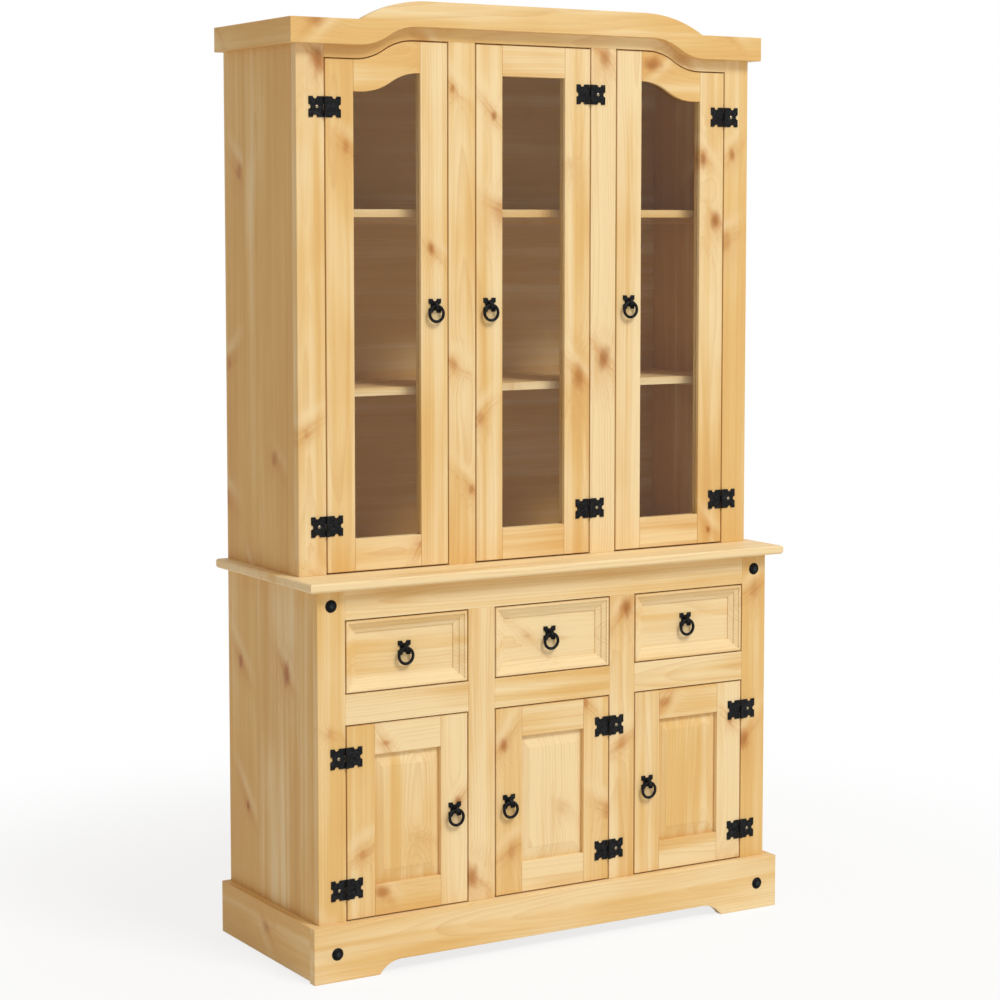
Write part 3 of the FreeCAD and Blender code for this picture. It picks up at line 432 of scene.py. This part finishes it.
# %% Colours
PALE = paint(241, 216, 167)
HONEY = paint(228, 187, 118)
LATE_WOOD = paint(209, 155, 90)
HALO = paint(206, 148, 82)
KNOT = paint(177, 108, 46)
HEART = paint(132, 76, 28)
STREAK_WARMTH = 0.6
PATCH_WARMTH = 0.4
BOARD_WARMTH = 0.2
DRIFT_WARMTH = 0.3
WARMTH_STEP = (0.37, 0.65)
DRIFT_AMBER = 0.25
AMBER_STEP = (0.5, 0.8)
AMBER_SHARE = 0.5


def plain_wood(streak, patch, drift, first, tone):
    """Sapwood, heartwood and amber streaks. A higher tone makes the board warmer."""
    lean = (first - 0.5) * BOARD_WARMTH + drift * DRIFT_WARMTH + tone
    warmth = rise(streak * STREAK_WARMTH + patch * PATCH_WARMTH + lean, *WARMTH_STEP)
    amber = rise((streak + patch) * 0.5 + drift * DRIFT_AMBER + tone, *AMBER_STEP)
    return blend(amber * AMBER_SHARE, blend(warmth, PALE, HONEY), LATE_WOOD)


SWELL_SHARE = 0.35
BAND_SHARE = 0.55
PALE_SHARE = 0.5
CORE_LEAST = 0.3
CORE_RANGE = 0.5
HEART_SHARE = 0.5


def with_knots(colour, masks, knotty):
    """Colour with a warm halo, a pale band, a core and a heart at each knot, stronger on a knotty board."""
    swell, core, heart, band, pale, fresh = masks
    vivid = (1 + knotty) / 2
    colour = blend((swell * SWELL_SHARE + band * BAND_SHARE) * vivid, colour, HALO)
    colour = blend(pale * PALE_SHARE, colour, PALE)
    colour = blend(core * (CORE_LEAST + fresh * CORE_RANGE) * knotty, colour, KNOT)
    return blend(heart * HEART_SHARE * knotty, colour, HEART)


print("six colours of pine")

# %% [markdown]
# ## The finish of a board
# The pine is waxed, so it has a soft sheen and no coat of varnish. Late wood is harder than the rest and
# stands a hair proud, which the bump shows. A wide panel is glued up from narrower boards called staves. Each
# stave gets a number and so a figure of its own, and a thin dark line marks the glue between them.

# %% Pine
NUMBER_STEP = 1.37
STAVE_STEP = 2.71
NARROW_BOARD = 0.06
CLEAN_KNOT = 0.5
LATE_SHARE = 0.36
FIBRE_SHARE = 0.3
# the seams carry the glue lines, and on door and drawer fronts the painted shade along their edges
SEAM_AND_SHADE_SHARE = 0.45
SEAM_AND_SHADE_STEP = (0.0002, 0.0009)
SATIN = 0.22
ROUGH = 0.5
LATE_ROUGH = 0.08
CORE_ROUGH = 0.1
FIBRE_ROUGH = 0.12
LATE_HEIGHT = 0.5
FIBRE_HEIGHT = 0.6
CORE_HEIGHT = 0.8
PINE_BUMP = 0.25
PINE_RELIEF = 0.0004


def pine(name, grain, seed, stave=None, tone=0.0, knotty=CLEAN_KNOT, dusk=1.0):
    """A pine finish. grain turns a place into (along, across, depth, board number, gaps to seams), in metres.

    A stave is the width of the strips of a wide panel, tone makes the wood warmer, knotty says how many
    knots there are and how dark, and dusk darkens the whole board: painted shade, for the backs in the shadow
    inside the cabinet.
    """
    material, shader, here = finish(name)
    x = here.node("ShaderNodeSeparateXYZ", {}, {"Vector": here})
    along, across, depth, board, *seams = grain(x, x.other("Y"), x.other("Z"))
    number = board * NUMBER_STEP + seed
    if stave:
        strip = (across / stave).maths("FLOOR")
        number = number + strip * STAVE_STEP
        across = across - (strip + 0.5) * stave
        seams.append(stave / 2 - abs(across))
    lots = draws(here, number)
    masks = knots(along, across, number, stave or NARROW_BOARD, knotty)
    swell, core, _, band, _, _ = masks
    drift = wood_noise("drift", along, across, number) - 0.5
    late = rings(along, across, depth, number, lots, drift, swell, band)
    streak = wood_noise("streak", along, across, number, depth)
    patch = wood_noise("patch", along, across, number)
    fibre = wood_noise("fibre", along, across, number, depth)

    colour = plain_wood(streak, patch, drift, lots[0], tone)
    colour = blend(late * LATE_SHARE + (fibre - 0.5) * FIBRE_SHARE, colour, LATE_WOOD)
    colour = with_knots(colour, masks, knotty)
    # dark glue lines, and on door and drawer fronts painted shade along their edges
    for gap in seams:
        colour = blend((1.0 - rise(gap, *SEAM_AND_SHADE_STEP)) * SEAM_AND_SHADE_SHARE, colour, KNOT)
    # painted shade: the whole board is darkened, for the shadow inside the cabinet
    if dusk < 1.0:
        colour = blend(1.0, colour, (dusk, dusk, dusk, 1.0), "MULTIPLY")
    feed(colour, shader, "Base Color")
    feed(ROUGH + late * LATE_ROUGH - core * CORE_ROUGH + (fibre - 0.5) * FIBRE_ROUGH, shader, "Roughness")
    shader.inputs["Specular IOR Level"].default_value = SATIN
    height = late * LATE_HEIGHT + fibre * FIBRE_HEIGHT + core * CORE_HEIGHT
    feed(relief(height, PINE_BUMP, PINE_RELIEF), shader, "Normal")
    return material


print("pine ready")

# %% [markdown]
# ## How each board lies
# The same log has to be laid along each board: stiles and sides upright, rails, plinth and worktop sideways,
# runners from front to back. A UV map for each solid could do it. Here a lay says which axis runs along the
# grain, which goes across it, and where one board of a sub-part ends and the next begins.

# %% Lay of a board
def lay(node, long, wide, boards=None, seam=0.5):
    """Grain along the axis long and across the axis wide; boards = (axis, spacing, start) numbers them.

    seam is the place of a glue line, as a share of the width, for a panel that is made of staves.
    """
    low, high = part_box(node)
    middle = low + (high - low) * seam
    deep = next(axis for axis in "xyz" if axis not in (long, wide))

    def grain(x, y, z):
        place = {"x": x, "y": y, "z": z}
        across = place[wide] - middle["xyz".index(wide)]
        depth = place[deep] - middle["xyz".index(deep)]
        board = place[long] * 0.0
        if boards:
            axis, spacing, start = boards
            board = ((place[axis] - start) / spacing).maths("FLOOR")
            if axis == wide:
                across = place[wide] - start - (board + 0.5) * spacing
            if axis == deep:
                depth = place[deep] - start - (board + 0.5) * spacing
        return place[long], across, depth, board

    return grain


print("lay of a board ready")

# %% [markdown]
# ## Doors, drawer boxes and cleats
# A door is the hard case, because its stiles and rails are in one sub-part. Cutting it up would do, but a
# mask is simpler: between the stiles the grain runs sideways, elsewhere it runs upright. Drawer boxes and
# shelf cleats are done in the same way. Round the front edges of doors and drawer fronts a darker line is
# painted: painted shade, which makes the dark gaps round them look wider. That line is one more seam, and
# only on the face.

# %% Lays of doors, boxes and cleats
PITCH = 0.336
LIGHT_HALF = 0.074
STILE_MIDDLE = 0.1045
RAIL_HALF = 0.0305
BOARDS_IN_DOOR = 5
BOARDS_IN_BOX = 3
BOX_SIDE = 0.0125
CLEAT_SIDE = 0.0145
CLEAT_HEIGHT = 0.02
CLEAT_STOREY = 0.2
END_CLEATS = 7
THIN = 0.1
EDGE_SHADE_SHARE = 0.5
FACE_STEP = (0.0006, 0.0016)


def bay_of(x):
    """The number of the bay: -1, 0 or 1 from left to right."""
    return (x / PITCH + 0.5).maths("FLOOR")


def door_lay(node):
    """Upright stiles at each side of a door, and rails between them at its foot and head."""
    low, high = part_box(node)

    def grain(x, y, z):
        bay = bay_of(x)
        local = x - bay * PITCH
        rail = abs(local) < LIGHT_HALF
        upper = z > (low.z + high.z) / 2
        rail_across = z - pick(upper, low.z + RAIL_HALF, high.z - RAIL_HALF)
        across = pick(rail, abs(local) - STILE_MIDDLE, rail_across)
        board = bay * BOARDS_IN_DOOR + pick(rail, local > 0.0, upper + 2)
        return pick(rail, z, x), across, y - low.y, board, abs(abs(local) - LIGHT_HALF)

    return grain


def edged(grain, node):
    """A lay with a line of painted shade along the front edges of a door or a drawer front, and none behind
    the face.
    """
    low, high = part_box(node)

    def with_edges(x, y, z):
        behind = rise(y - low.y, *FACE_STEP)
        along, across, depth, board, *seams = grain(x, y, z)
        # painted shade: a dark line along the side, top and bottom edges of the face, where the gaps are in
        # shade
        edges = [high.x - abs(x - bay_of(x) * PITCH), z - low.z, high.z - z]
        gaps = [gap + behind for gap in seams + [edge * EDGE_SHADE_SHARE for edge in edges]]
        return along, across, depth, board, *gaps

    return with_edges


def box_lay(node):
    """A drawer's sides run from front to back, and its back and bottom from side to side."""
    low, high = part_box(node)

    def grain(x, y, z):
        bay = bay_of(x)
        side = abs(x - bay * PITCH) > (high.x - low.x) / 2 - BOX_SIDE
        across = z - (low.z + high.z) / 2
        return pick(side, x, y), across, pick(side, y, x) * THIN, bay * BOARDS_IN_BOX + side

    return grain


def cleat_lay(node):
    """Cleats at the ends run from front to back, and those at the back from side to side."""
    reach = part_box(node)[1].x - CLEAT_SIDE

    def grain(x, y, z):
        end = abs(x) > reach
        across = (z / CLEAT_HEIGHT).maths("FRACT") * CLEAT_HEIGHT
        board = (z / CLEAT_STOREY).maths("FLOOR") + end * END_CLEATS
        return pick(end, x, y), across, y * THIN, board

    return grain


print("lays ready")

# %% [markdown]
# ## Every board its own wood
# On the real highboard the sides are glued up from wide knotty staves, and the shelves and the worktop from
# narrower ones. Posts and rails are single boards. One material for everything would run the grain straight
# through the joints. So each sub-part gets its own finish, with its own lay, seed and looks.

# %% Dress the fixed boards
STAVES = {"stave": 0.094}
KNOTTY = 1.3
FRAME_KNOT = 0.85
# Part of the sides' warmer tone is painted shade: the warmer colour of a side that stands in half shade.
SIDE_LOOKS = {"stave": 0.19, "tone": 0.08, "knotty": KNOTTY}
BASE_SEAM = 0.65
HUTCH_SEAM = 0.71
SIDES = ("x", 1.0, -1.0)
POSTS = ("x", PITCH, -2 * PITCH)
DOORS = ("x", PITCH, -1.5 * PITCH)
DECKS = ("z", 0.6, 0.5)
SHELVES = ("z", 0.352, 0.954)
LONG_RAILS = ("z", 0.64, -0.23)
FIRST_SEED = 2.0
SEED_STEP = 9.7


def dress(material, *names):
    """Give a finish to every material slot of these solids."""
    for name in names:
        for slot in nodes[name].material_slots:
            slot.material = material


boards = {
    "base_sides": (lay("base_sides", "z", "y", SIDES, BASE_SEAM), SIDE_LOOKS),
    "hutch_sides": (lay("hutch_sides", "z", "y", SIDES, HUTCH_SEAM), SIDE_LOOKS),
    "base_floor": (lay("base_floor", "x", "y"), STAVES),
    "base_shelf": (lay("base_shelf", "x", "y"), STAVES),
    "hutch_decks": (lay("hutch_decks", "x", "y", DECKS), STAVES),
    "hutch_shelves": (lay("hutch_shelves", "x", "y", SHELVES), STAVES),
    "worktop": (lay("worktop", "x", "y"), {"stave": 0.108, "tone": -0.05}),
    "base_uprights": (lay("base_uprights", "z", "x", POSTS), {"tone": 0.01, "knotty": FRAME_KNOT}),
    "hutch_uprights": (lay("hutch_uprights", "z", "x", POSTS), {"knotty": FRAME_KNOT}),
    "base_long_rails": (lay("base_long_rails", "x", "z", LONG_RAILS), {}),
    "base_middle_rails": (lay("base_middle_rails", "x", "z", DOORS), {}),
    "hutch_top_rail": (lay("hutch_top_rail", "x", "z"), {}),
    "cornice_front": (lay("cornice_front", "x", "z"), {}),
    "cornice_returns": (lay("cornice_returns", "y", "z", SIDES), {}),
    "plinth_front": (lay("plinth_front", "x", "z"), {"tone": -0.05}),
    "plinth_sides": (lay("plinth_sides", "y", "z", SIDES), {"tone": 0.05}),
    "drawer_runners": (lay("drawer_runners", "y", "x", POSTS), {}),
    "shelf_cleats": (cleat_lay("shelf_cleats"), {}),
}
for count, (name, (grain, looks)) in enumerate(boards.items()):
    dress(pine(f"pine_{name}", grain, count * SEED_STEP + FIRST_SEED, **looks), name)
print(f"{len(boards)} fixed sub-parts dressed")

# %% [markdown]
# ## Doors, drawers and backs
# The cleanest wood goes where it is seen best, into the door panels and the drawer fronts, and the frames
# round them may have knots. The three doors or drawers of a row could have a finish each. They share one that
# numbers them by bay, which gives each its own figure all the same. The backs are thin, and they are darkened
# as painted shade, for the shadow inside the cabinet.

# %% Dress doors, drawers and backs
BAYS = ("left", "middle", "right")
FIELD_KNOT = 0.15
# painted shade: the backs are darkened for the shadow inside the cabinet
BACK_SHADE_LOOKS = {"dusk": 0.9}
BACK_SEED = 401.0
BACK_STEP = 11.0

hutch_frame = edged(door_lay("hutch_door_middle_frame"), "hutch_door_middle_frame")
base_frame = edged(door_lay("base_door_middle_frame"), "base_door_middle_frame")
drawer_front = edged(lay("drawer_middle_front", "x", "z", DOORS), "drawer_middle_front")
base_panel = lay("base_door_middle_panel", "z", "x", DOORS)
shared = {
    "hutch_door_{}_frame": (hutch_frame, {"seed": 213.0, "knotty": FRAME_KNOT}),
    "base_door_{}_frame": (base_frame, {"seed": 241.0, "tone": -0.04, "knotty": FRAME_KNOT}),
    "base_door_{}_panel": (base_panel, {"seed": 307.0, "knotty": FIELD_KNOT}),
    "drawer_{}_front": (drawer_front, {"seed": 331.0, "tone": -0.14, "knotty": FIELD_KNOT}),
    "drawer_{}_box": (box_lay("drawer_middle_box"), {"seed": 359.0}),
}
for name, (grain, looks) in shared.items():
    dress(pine("pine_" + name.replace("_{}", ""), grain, **looks), *[name.format(bay) for bay in BAYS])
for count, name in enumerate(("base_back", "hutch_back")):
    dress(pine(f"pine_{name}", lay(name, "x", "z"), BACK_SEED + count * BACK_STEP, **BACK_SHADE_LOOKS), name)
print(f"{len(shared)} rows of doors and drawers dressed")

# %% [markdown]
# ## Black iron
# The hinges, plates, rings and studs are iron, hammered and painted black. Paint keeps them from looking
# like bare metal: the shader stays a dielectric with a dark colour. Two noises do the rest. A coarse one
# dents the surface as a hammer does, and a fine one makes the paint a little uneven, in colour and in gloss.

# %% Iron
IRON_DARK = paint(9, 9, 10)
IRON_LIGHT = paint(36, 37, 40)
IRON_SHINE = 0.14
HAMMER_MARK = 0.0042
PAINT_GRAIN = 0.0006
DENT_WEAR = 0.7
SPECK_WEAR = 0.5
WEAR_STEP = (0.4, 0.85)
CROWN_HIGHLIGHT_LEAST = 0.4
IRON_ROUGH = 0.58
WEAR_ROUGH = 0.16
SPECK_ROUGH = 0.2
DENT_HEIGHT = 0.8
SPECK_HEIGHT = 0.15
IRON_BUMP = 0.45
IRON_RELIEF = 0.0006


def iron(name, light, shine, crown=None):
    """Hammered and painted iron: dents of the size HAMMER_MARK and a fine grain in the paint.

    Where a crown is given, the light colour is a painted highlight kept to the crown and broken up by the
    wear.
    """
    material, shader, here = finish(name)
    scale = {"Scale": 1 / HAMMER_MARK, "Vector": here}
    dent = here.node("ShaderNodeTexVoronoi", {"feature": "SMOOTH_F1"}, scale)
    speck = cloud(here, 1 / PAINT_GRAIN)
    worn = rise(dent * DENT_WEAR + speck * SPECK_WEAR, *WEAR_STEP)
    # on the studs the light colour is a painted highlight on the crowns
    share = crown(here) * (CROWN_HIGHLIGHT_LEAST + worn * (1 - CROWN_HIGHLIGHT_LEAST)) if crown else worn
    feed(blend(share, IRON_DARK, light), shader, "Base Color")
    feed(IRON_ROUGH - worn * WEAR_ROUGH + (speck - 0.5) * SPECK_ROUGH, shader, "Roughness")
    shader.inputs["Specular IOR Level"].default_value = shine
    feed(relief(dent * DENT_HEIGHT + speck * SPECK_HEIGHT, IRON_BUMP, IRON_RELIEF), shader, "Normal")
    return material


black_iron = iron("black_iron", IRON_LIGHT, IRON_SHINE)
iron_names = ["hinge_frame_leaves", "hinge_pins"]
for bay in BAYS:
    for part in ("hutch_door", "base_door"):
        iron_names += [f"{part}_{bay}_iron", f"{part}_{bay}_ring"]
    iron_names += [f"drawer_{bay}_plate", f"drawer_{bay}_ring"]
dress(black_iron, *iron_names)
print(f"{len(iron_names)} iron solids dressed")

# %% [markdown]
# ## Studs
# Four forged studs sit at the corners of the sideboard's front, and their crowns carry a painted grey
# highlight. A second solid for each crown could carry the lighter colour. It is simpler to let the colour
# depend on the distance from the middle of the nearest stud, and one formula then serves all four.

# %% Studs
# painted highlight: the lighter grey of the studs' crowns
STUD_HIGHLIGHT = paint(60, 70, 72)
STUD_SHINE = 0.12
STUD_RADIUS = 0.0125
CROWN_HIGHLIGHT_STEP = (0.001, 0.0065)


def stud_crown(here):
    """Painted highlight: 1 on the crowns of the four studs and 0 on their rims, a step down with distance
    from the middle.
    """
    low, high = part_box("iron_studs")
    x = here.node("ShaderNodeSeparateXYZ", {}, {"Vector": here})
    z = x.other("Z")
    middle = pick(z > (low.z + high.z) / 2, low.z + STUD_RADIUS, high.z - STUD_RADIUS)
    aside = abs(x) - (high.x - STUD_RADIUS)
    reach = (aside ** 2 + (z - middle) ** 2).maths("SQRT")
    return 1.0 - rise(reach, *CROWN_HIGHLIGHT_STEP)


dress(iron("stud_iron", STUD_HIGHLIGHT, STUD_SHINE, stud_crown), "iron_studs")
print("studs dressed")

# %% [markdown]
# ## Glass
# A window pane hardly bends what is seen through it, so it needs no real refraction. A clear shader is mixed
# with a mirror by Schlick's formula, which shows more of the room at a slant. Blender's Fresnel node was left
# out: on the way out of the pane it turns into a full mirror at a slant, and keeps light off the shelves.
# A faint ripple in the normal keeps the reflection from looking like a perfect plane.

# %% Panes
GLASS_TINT = (0.985, 0.985, 0.98, 1.0)
GLASS_MIRROR = 0.018
SCHLICK_POWER = 5.0
RIPPLE_LUMPS = 3.0
RIPPLE_BUMP = 0.05
RIPPLE_RELIEF = 0.004
SMEAR_LUMPS = 26.0
GLASS_ROUGH = 0.01
SMEAR_ROUGH = 0.05


def clear_glass():
    """Thin pane: Transparent and Glossy mixed by m + (1 - m) (1 - cos a)^5, with a ripple and smears."""
    material, shader, here = finish("clear_glass")
    ripple = relief(cloud(here, RIPPLE_LUMPS, 1.0), RIPPLE_BUMP, RIPPLE_RELIEF)
    rough = GLASS_ROUGH + cloud(here, SMEAR_LUMPS, 3.0) * SMEAR_ROUGH
    mirror = here.node("ShaderNodeBsdfGlossy", {}, {"Roughness": rough, "Normal": ripple}, "BSDF")
    clear = here.node("ShaderNodeBsdfTransparent", {}, {"Color": GLASS_TINT}, "BSDF")
    slant = here.node("ShaderNodeLayerWeight", {}, {"Blend": 0.5}, "Facing")
    share = GLASS_MIRROR + slant ** SCHLICK_POWER * (1 - GLASS_MIRROR)
    pane = here.node("ShaderNodeMixShader", {}, {0: share, 1: clear, 2: mirror})
    material.node_tree.nodes.remove(shader)
    feed(pane, output_of(material), "Surface")
    return material


dress(clear_glass(), *[f"hutch_door_{bay}_glass" for bay in BAYS])
print("glass dressed")

# %% [markdown]
# ## Catches
# Magnetic catches of moulded plastic hold the doors shut. They are seen only with a door open. The mould is
# spark-eroded, which leaves a fine grain, so one fine noise varies the colour, the gloss and the normal.

# %% Plastic
PLASTIC_DARK = paint(92, 60, 38)
PLASTIC_LIGHT = paint(112, 76, 50)
PLASTIC_LUMPS = 1800.0
PLASTIC_ROUGH = 0.45
GRAIN_ROUGH = 0.2
PLASTIC_BUMP = 0.2
PLASTIC_RELIEF = 0.0002


def brown_plastic():
    """Moulded plastic with a fine spark-eroded grain."""
    material, shader, here = finish("brown_plastic")
    grain = cloud(here, PLASTIC_LUMPS)
    feed(blend(grain, PLASTIC_DARK, PLASTIC_LIGHT), shader, "Base Color")
    feed(PLASTIC_ROUGH + grain * GRAIN_ROUGH, shader, "Roughness")
    feed(relief(grain, PLASTIC_BUMP, PLASTIC_RELIEF), shader, "Normal")
    return material


dress(brown_plastic(), "magnetic_catches")
print("catches dressed")

# %% [markdown]
# ## Screws
# Every hinge leaf is held by a cross-head screw. In the photograph the ones in the fixed leaves show as small
# bright dots, and those in the door leaves are black. A cylinder and a boolean cut would do for one head.
# Here a head is a surface over a polar grid: its height is a dome, and a cross is pressed into it. All heads
# of one group are the same array moved to many places, so they cost one mesh.

# %% Screw heads
SCREW_RADIUS = 0.0031
SCREW_HEIGHT = 0.0013
SCREW_SINK = 0.0004
DOME_FALL = 0.75
HEAD_MIDDLE = 0.03
HEAD_RINGS = 14
HEAD_SECTORS = 48
CROSS_HALF = 0.00038
CROSS_REACH = 0.0019
CROSS_DEPTH = 0.0009


def grid_faces(rows, columns):
    """Quads of a grid whose last column joins the first: corners (i, j), (i, j+1), (i+1, j+1), (i+1, j)."""
    row, column = np.meshgrid(np.arange(rows - 1), np.arange(columns), indexing="ij")
    following = (column + 1) % columns
    corners = [row * columns + column, row * columns + following]
    corners += [(row + 1) * columns + following, (row + 1) * columns + column]
    return np.stack(corners, axis=-1).reshape(-1, 4)


def screw_head():
    """Polar grid: height = SCREW_HEIGHT * (1 - DOME_FALL * r^2), less CROSS_DEPTH in the bars of a cross.

    The last ring goes straight down into the leaf, and the small hole in the middle gets a cap.
    """
    radius = np.concatenate([np.linspace(HEAD_MIDDLE, 1.0, HEAD_RINGS), [1.0]])
    angle = np.linspace(0, 2 * np.pi, HEAD_SECTORS, endpoint=False)
    share, turn = np.meshgrid(radius, angle, indexing="ij")
    across = share * np.cos(turn) * SCREW_RADIUS
    up = share * np.sin(turn) * SCREW_RADIUS
    crown = SCREW_HEIGHT * (1 - DOME_FALL * share ** 2)
    bars = np.minimum(np.abs(across), np.abs(up)) < CROSS_HALF
    inside = share * SCREW_RADIUS < CROSS_REACH
    crown = np.where(bars & inside, crown - CROSS_DEPTH, crown)
    crown[-1] = -SCREW_SINK
    points = np.stack([across, -crown, up], axis=-1).reshape(-1, 3)
    return points, grid_faces(*share.shape), np.arange(len(angle))


def screws(name, places, body, material):
    """One mesh with a screw head at each place, riding on a body."""
    points, quads, cap = screw_head()
    shift = np.asarray(places)[:, None, :]
    vertices = (points[None] + shift).reshape(-1, 3)
    jump = np.arange(len(places))[:, None, None] * len(points)
    faces = (quads[None] + jump).reshape(-1, 4).tolist()
    faces += (cap[None, ::-1] + jump[:, 0]).tolist()
    mesh = bpy.data.meshes.new(name)
    mesh.from_pydata(vertices.tolist(), [], faces)
    mesh.materials.append(material)
    mesh.update()
    piece = bpy.data.objects.new(name, mesh)
    bpy.context.scene.collection.objects.link(piece)
    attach(piece, body)


print("screw head ready")

# %% [markdown]
# ## Screws in place
# The screws sit in the middle of the leaves. Their places could be typed in one by one, but every hinge joint
# already knows its axis, and the door's box gives the heights. The screws in the fixed leaves stay with the
# cabinet, and the others ride on their doors. The bright ones are zinc-plated steel that has yellowed.

# %% Screws in place
SCREW_FROM_AXIS = 0.0172
LEAF_THICKNESS = 0.0016
AXIS_STAND = 0.0034
HUTCH_INSET = 0.092
BASE_INSET = 0.061
ARCH_RISE = 0.039
STEEL_DARK = paint(150, 132, 104)
STEEL_LIGHT = paint(186, 168, 138)
TURNING_LUMPS = 2600.0
STEEL_ROUGH = 0.25
MARK_ROUGH = 0.2
STEEL_METAL = 0.85


def bright_steel():
    """Yellowed zinc-plated steel with fine turning marks."""
    material, shader, here = finish("bright_steel")
    mark = cloud(here, TURNING_LUMPS)
    feed(blend(mark, STEEL_DARK, STEEL_LIGHT), shader, "Base Color")
    feed(STEEL_ROUGH + mark * MARK_ROUGH, shader, "Roughness")
    shader.inputs["Metallic"].default_value = STEEL_METAL
    return material


steel = bright_steel()
fixed_places = []
for joint in frame["joints"]:
    if not joint["name"].endswith("_hinge"):
        continue
    door = joint["child"]
    axis_x, axis_y, _ = joint["pos_m"]
    outwards = 1 if joint["axis"][2] > 0 else -1
    low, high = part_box(f"{door}_frame")
    inset = HUTCH_INSET if door.startswith("hutch") else BASE_INSET
    drop = ARCH_RISE if door in ("hutch_door_left", "hutch_door_right") else 0.0
    face = axis_y + AXIS_STAND - LEAF_THICKNESS
    heights = (low.z + inset, high.z - drop - inset)
    fixed_places += [(axis_x + outwards * SCREW_FROM_AXIS, face, height) for height in heights]
    turning = [(axis_x - outwards * SCREW_FROM_AXIS, face, height) for height in heights]
    screws(f"{door}_screws", turning, door, black_iron)
screws("frame_screws", fixed_places, "cabinet", steel)
print(f"{len(fixed_places) * 2} screws")

# %% [markdown]
# ## The white room
# The photograph is a studio shot on white. A white room can be built from walls, or the world itself can be
# white: a background that is bright to the camera, to mirrors and to glass, and dimmer as a light, so that
# it fills the shadows without bleaching the wood. The fill is strongest and whitest from the front right and
# above. It is weaker and warmer from the left, below and behind, like light that has met floor and walls.

# %% World
WHITE = (1.0, 1.0, 1.0, 1.0)
FILL_LEAST = 0.4
FILL_MOST = 0.6
FILL_FROM = (0.38, -0.8, 0.46)
FILL_STEP = (-0.3, 0.9)
FILL_SHADE = (1.0, 0.87, 0.77, 1.0)
FILL_LIGHT = (1.0, 0.96, 0.91, 1.0)


def seen(value):
    """1 for rays from the camera, from a mirror or through glass, and 0 for rays that gather light."""
    camera_ray = value.node("ShaderNodeLightPath", output="Is Camera Ray")
    direct = camera_ray.maths("MAXIMUM", camera_ray.other("Is Glossy Ray"))
    return direct.maths("MAXIMUM", camera_ray.other("Is Transmission Ray"))


world = bpy.data.worlds.new("studio")
world.use_nodes = True
bpy.context.scene.world = world
sky = next(part for part in world.node_tree.nodes if part.type == "BACKGROUND")
way = Value(world.node_tree).node("ShaderNodeTexCoord", output="Generated")
facing = way.node("ShaderNodeVectorMath", {"operation": "DOT_PRODUCT"}, {0: way, 1: FILL_FROM}, "Value")
ahead = rise(facing, *FILL_STEP)
fill = pick(ahead, FILL_LEAST, FILL_MOST)
shown = seen(way)
feed(blend(shown, blend(ahead, FILL_SHADE, FILL_LIGHT), WHITE), sky, "Color")
feed(fill + (1 - fill) * shown, sky, "Strength")
print("white world ready")

# %% [markdown]
# ## The lamp
# One large soft lamp in front, to the right and above gives the shape: it leaves the left side in half shade
# and throws the shadows of the cornice and the worktop on the front. A lamp close by would light the cornice
# much more than the plinth, so this one is far off, and large enough to keep the shadows' edges soft.

# %% Lamp
KEY_PLACE = (3.25, -10.25, 13.25)
KEY_AIM = (0.0, 0.0, 1.0)
KEY_SIZE = 5.0
KEY_POWER = 1470.0
KEY_COLOUR = (0.97, 1.0, 1.02)

lamp = bpy.data.lights.new("key", "AREA")
lamp.energy = KEY_POWER
lamp.color = KEY_COLOUR
lamp.size = KEY_SIZE
key = bpy.data.objects.new("key", lamp)
key.location = KEY_PLACE
aim = np.array(KEY_AIM) - np.array(KEY_PLACE)
key_tilt = math.atan2(np.hypot(aim[0], aim[1]), -aim[2])
key.rotation_euler = (key_tilt, 0, math.atan2(aim[1], aim[0]) - math.pi / 2)
bpy.context.scene.collection.objects.link(key)
print(f"lamp at {np.linalg.norm(aim):.1f} m")

# %% [markdown]
# ## The floor
# The floor is white paper that keeps the highboard's soft shadow. Paper lit like the wood would look grey
# next to the white world, so to the camera it is mixed with its own glow: mostly near the highboard, where
# the shadow has to stay, and wholly further off, where it runs into the white.

# %% Floor
FLOOR_HALF = 14.0
FLOOR_COLOUR = (0.9, 0.9, 0.9, 1.0)
FLOOR_ROUGH = 0.9
FLOOR_NEAR = 0.75
FLOOR_FAR = 2.0
FLOOR_LEAST = 0.8

floor_mesh = bpy.data.meshes.new("floor")
edge = np.array([(-1, -1, 0), (1, -1, 0), (1, 1, 0), (-1, 1, 0)]) * FLOOR_HALF
floor_mesh.from_pydata(edge.tolist(), [], [(0, 1, 2, 3)])
floor = bpy.data.objects.new("floor", floor_mesh)
bpy.context.scene.collection.objects.link(floor)
paper, paper_shader, here = finish("white_paper")
paper_shader.inputs["Base Color"].default_value = FLOOR_COLOUR
paper_shader.inputs["Roughness"].default_value = FLOOR_ROUGH
paper_shader.inputs["Specular IOR Level"].default_value = 0.0
distance = here.node("ShaderNodeVectorMath", {"operation": "LENGTH"}, {0: here}, "Value")
glow = here.node("ShaderNodeEmission", {}, {"Color": WHITE, "Strength": 1.0}, "Emission")
share = pick(rise(distance, FLOOR_NEAR, FLOOR_FAR), FLOOR_LEAST, 1.0) * seen(here)
lit = Value(paper.node_tree, paper_shader.outputs["BSDF"])
feed(here.node("ShaderNodeMixShader", {}, {0: share, 1: lit, 2: glow}), output_of(paper), "Surface")
floor_mesh.materials.append(paper)
floor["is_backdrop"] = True
print("floor ready")

# %% [markdown]
# ## The size
# Nothing added here may make the highboard bigger than its solids, so the box round all that is shown is
# measured.

# %% Size
low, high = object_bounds()
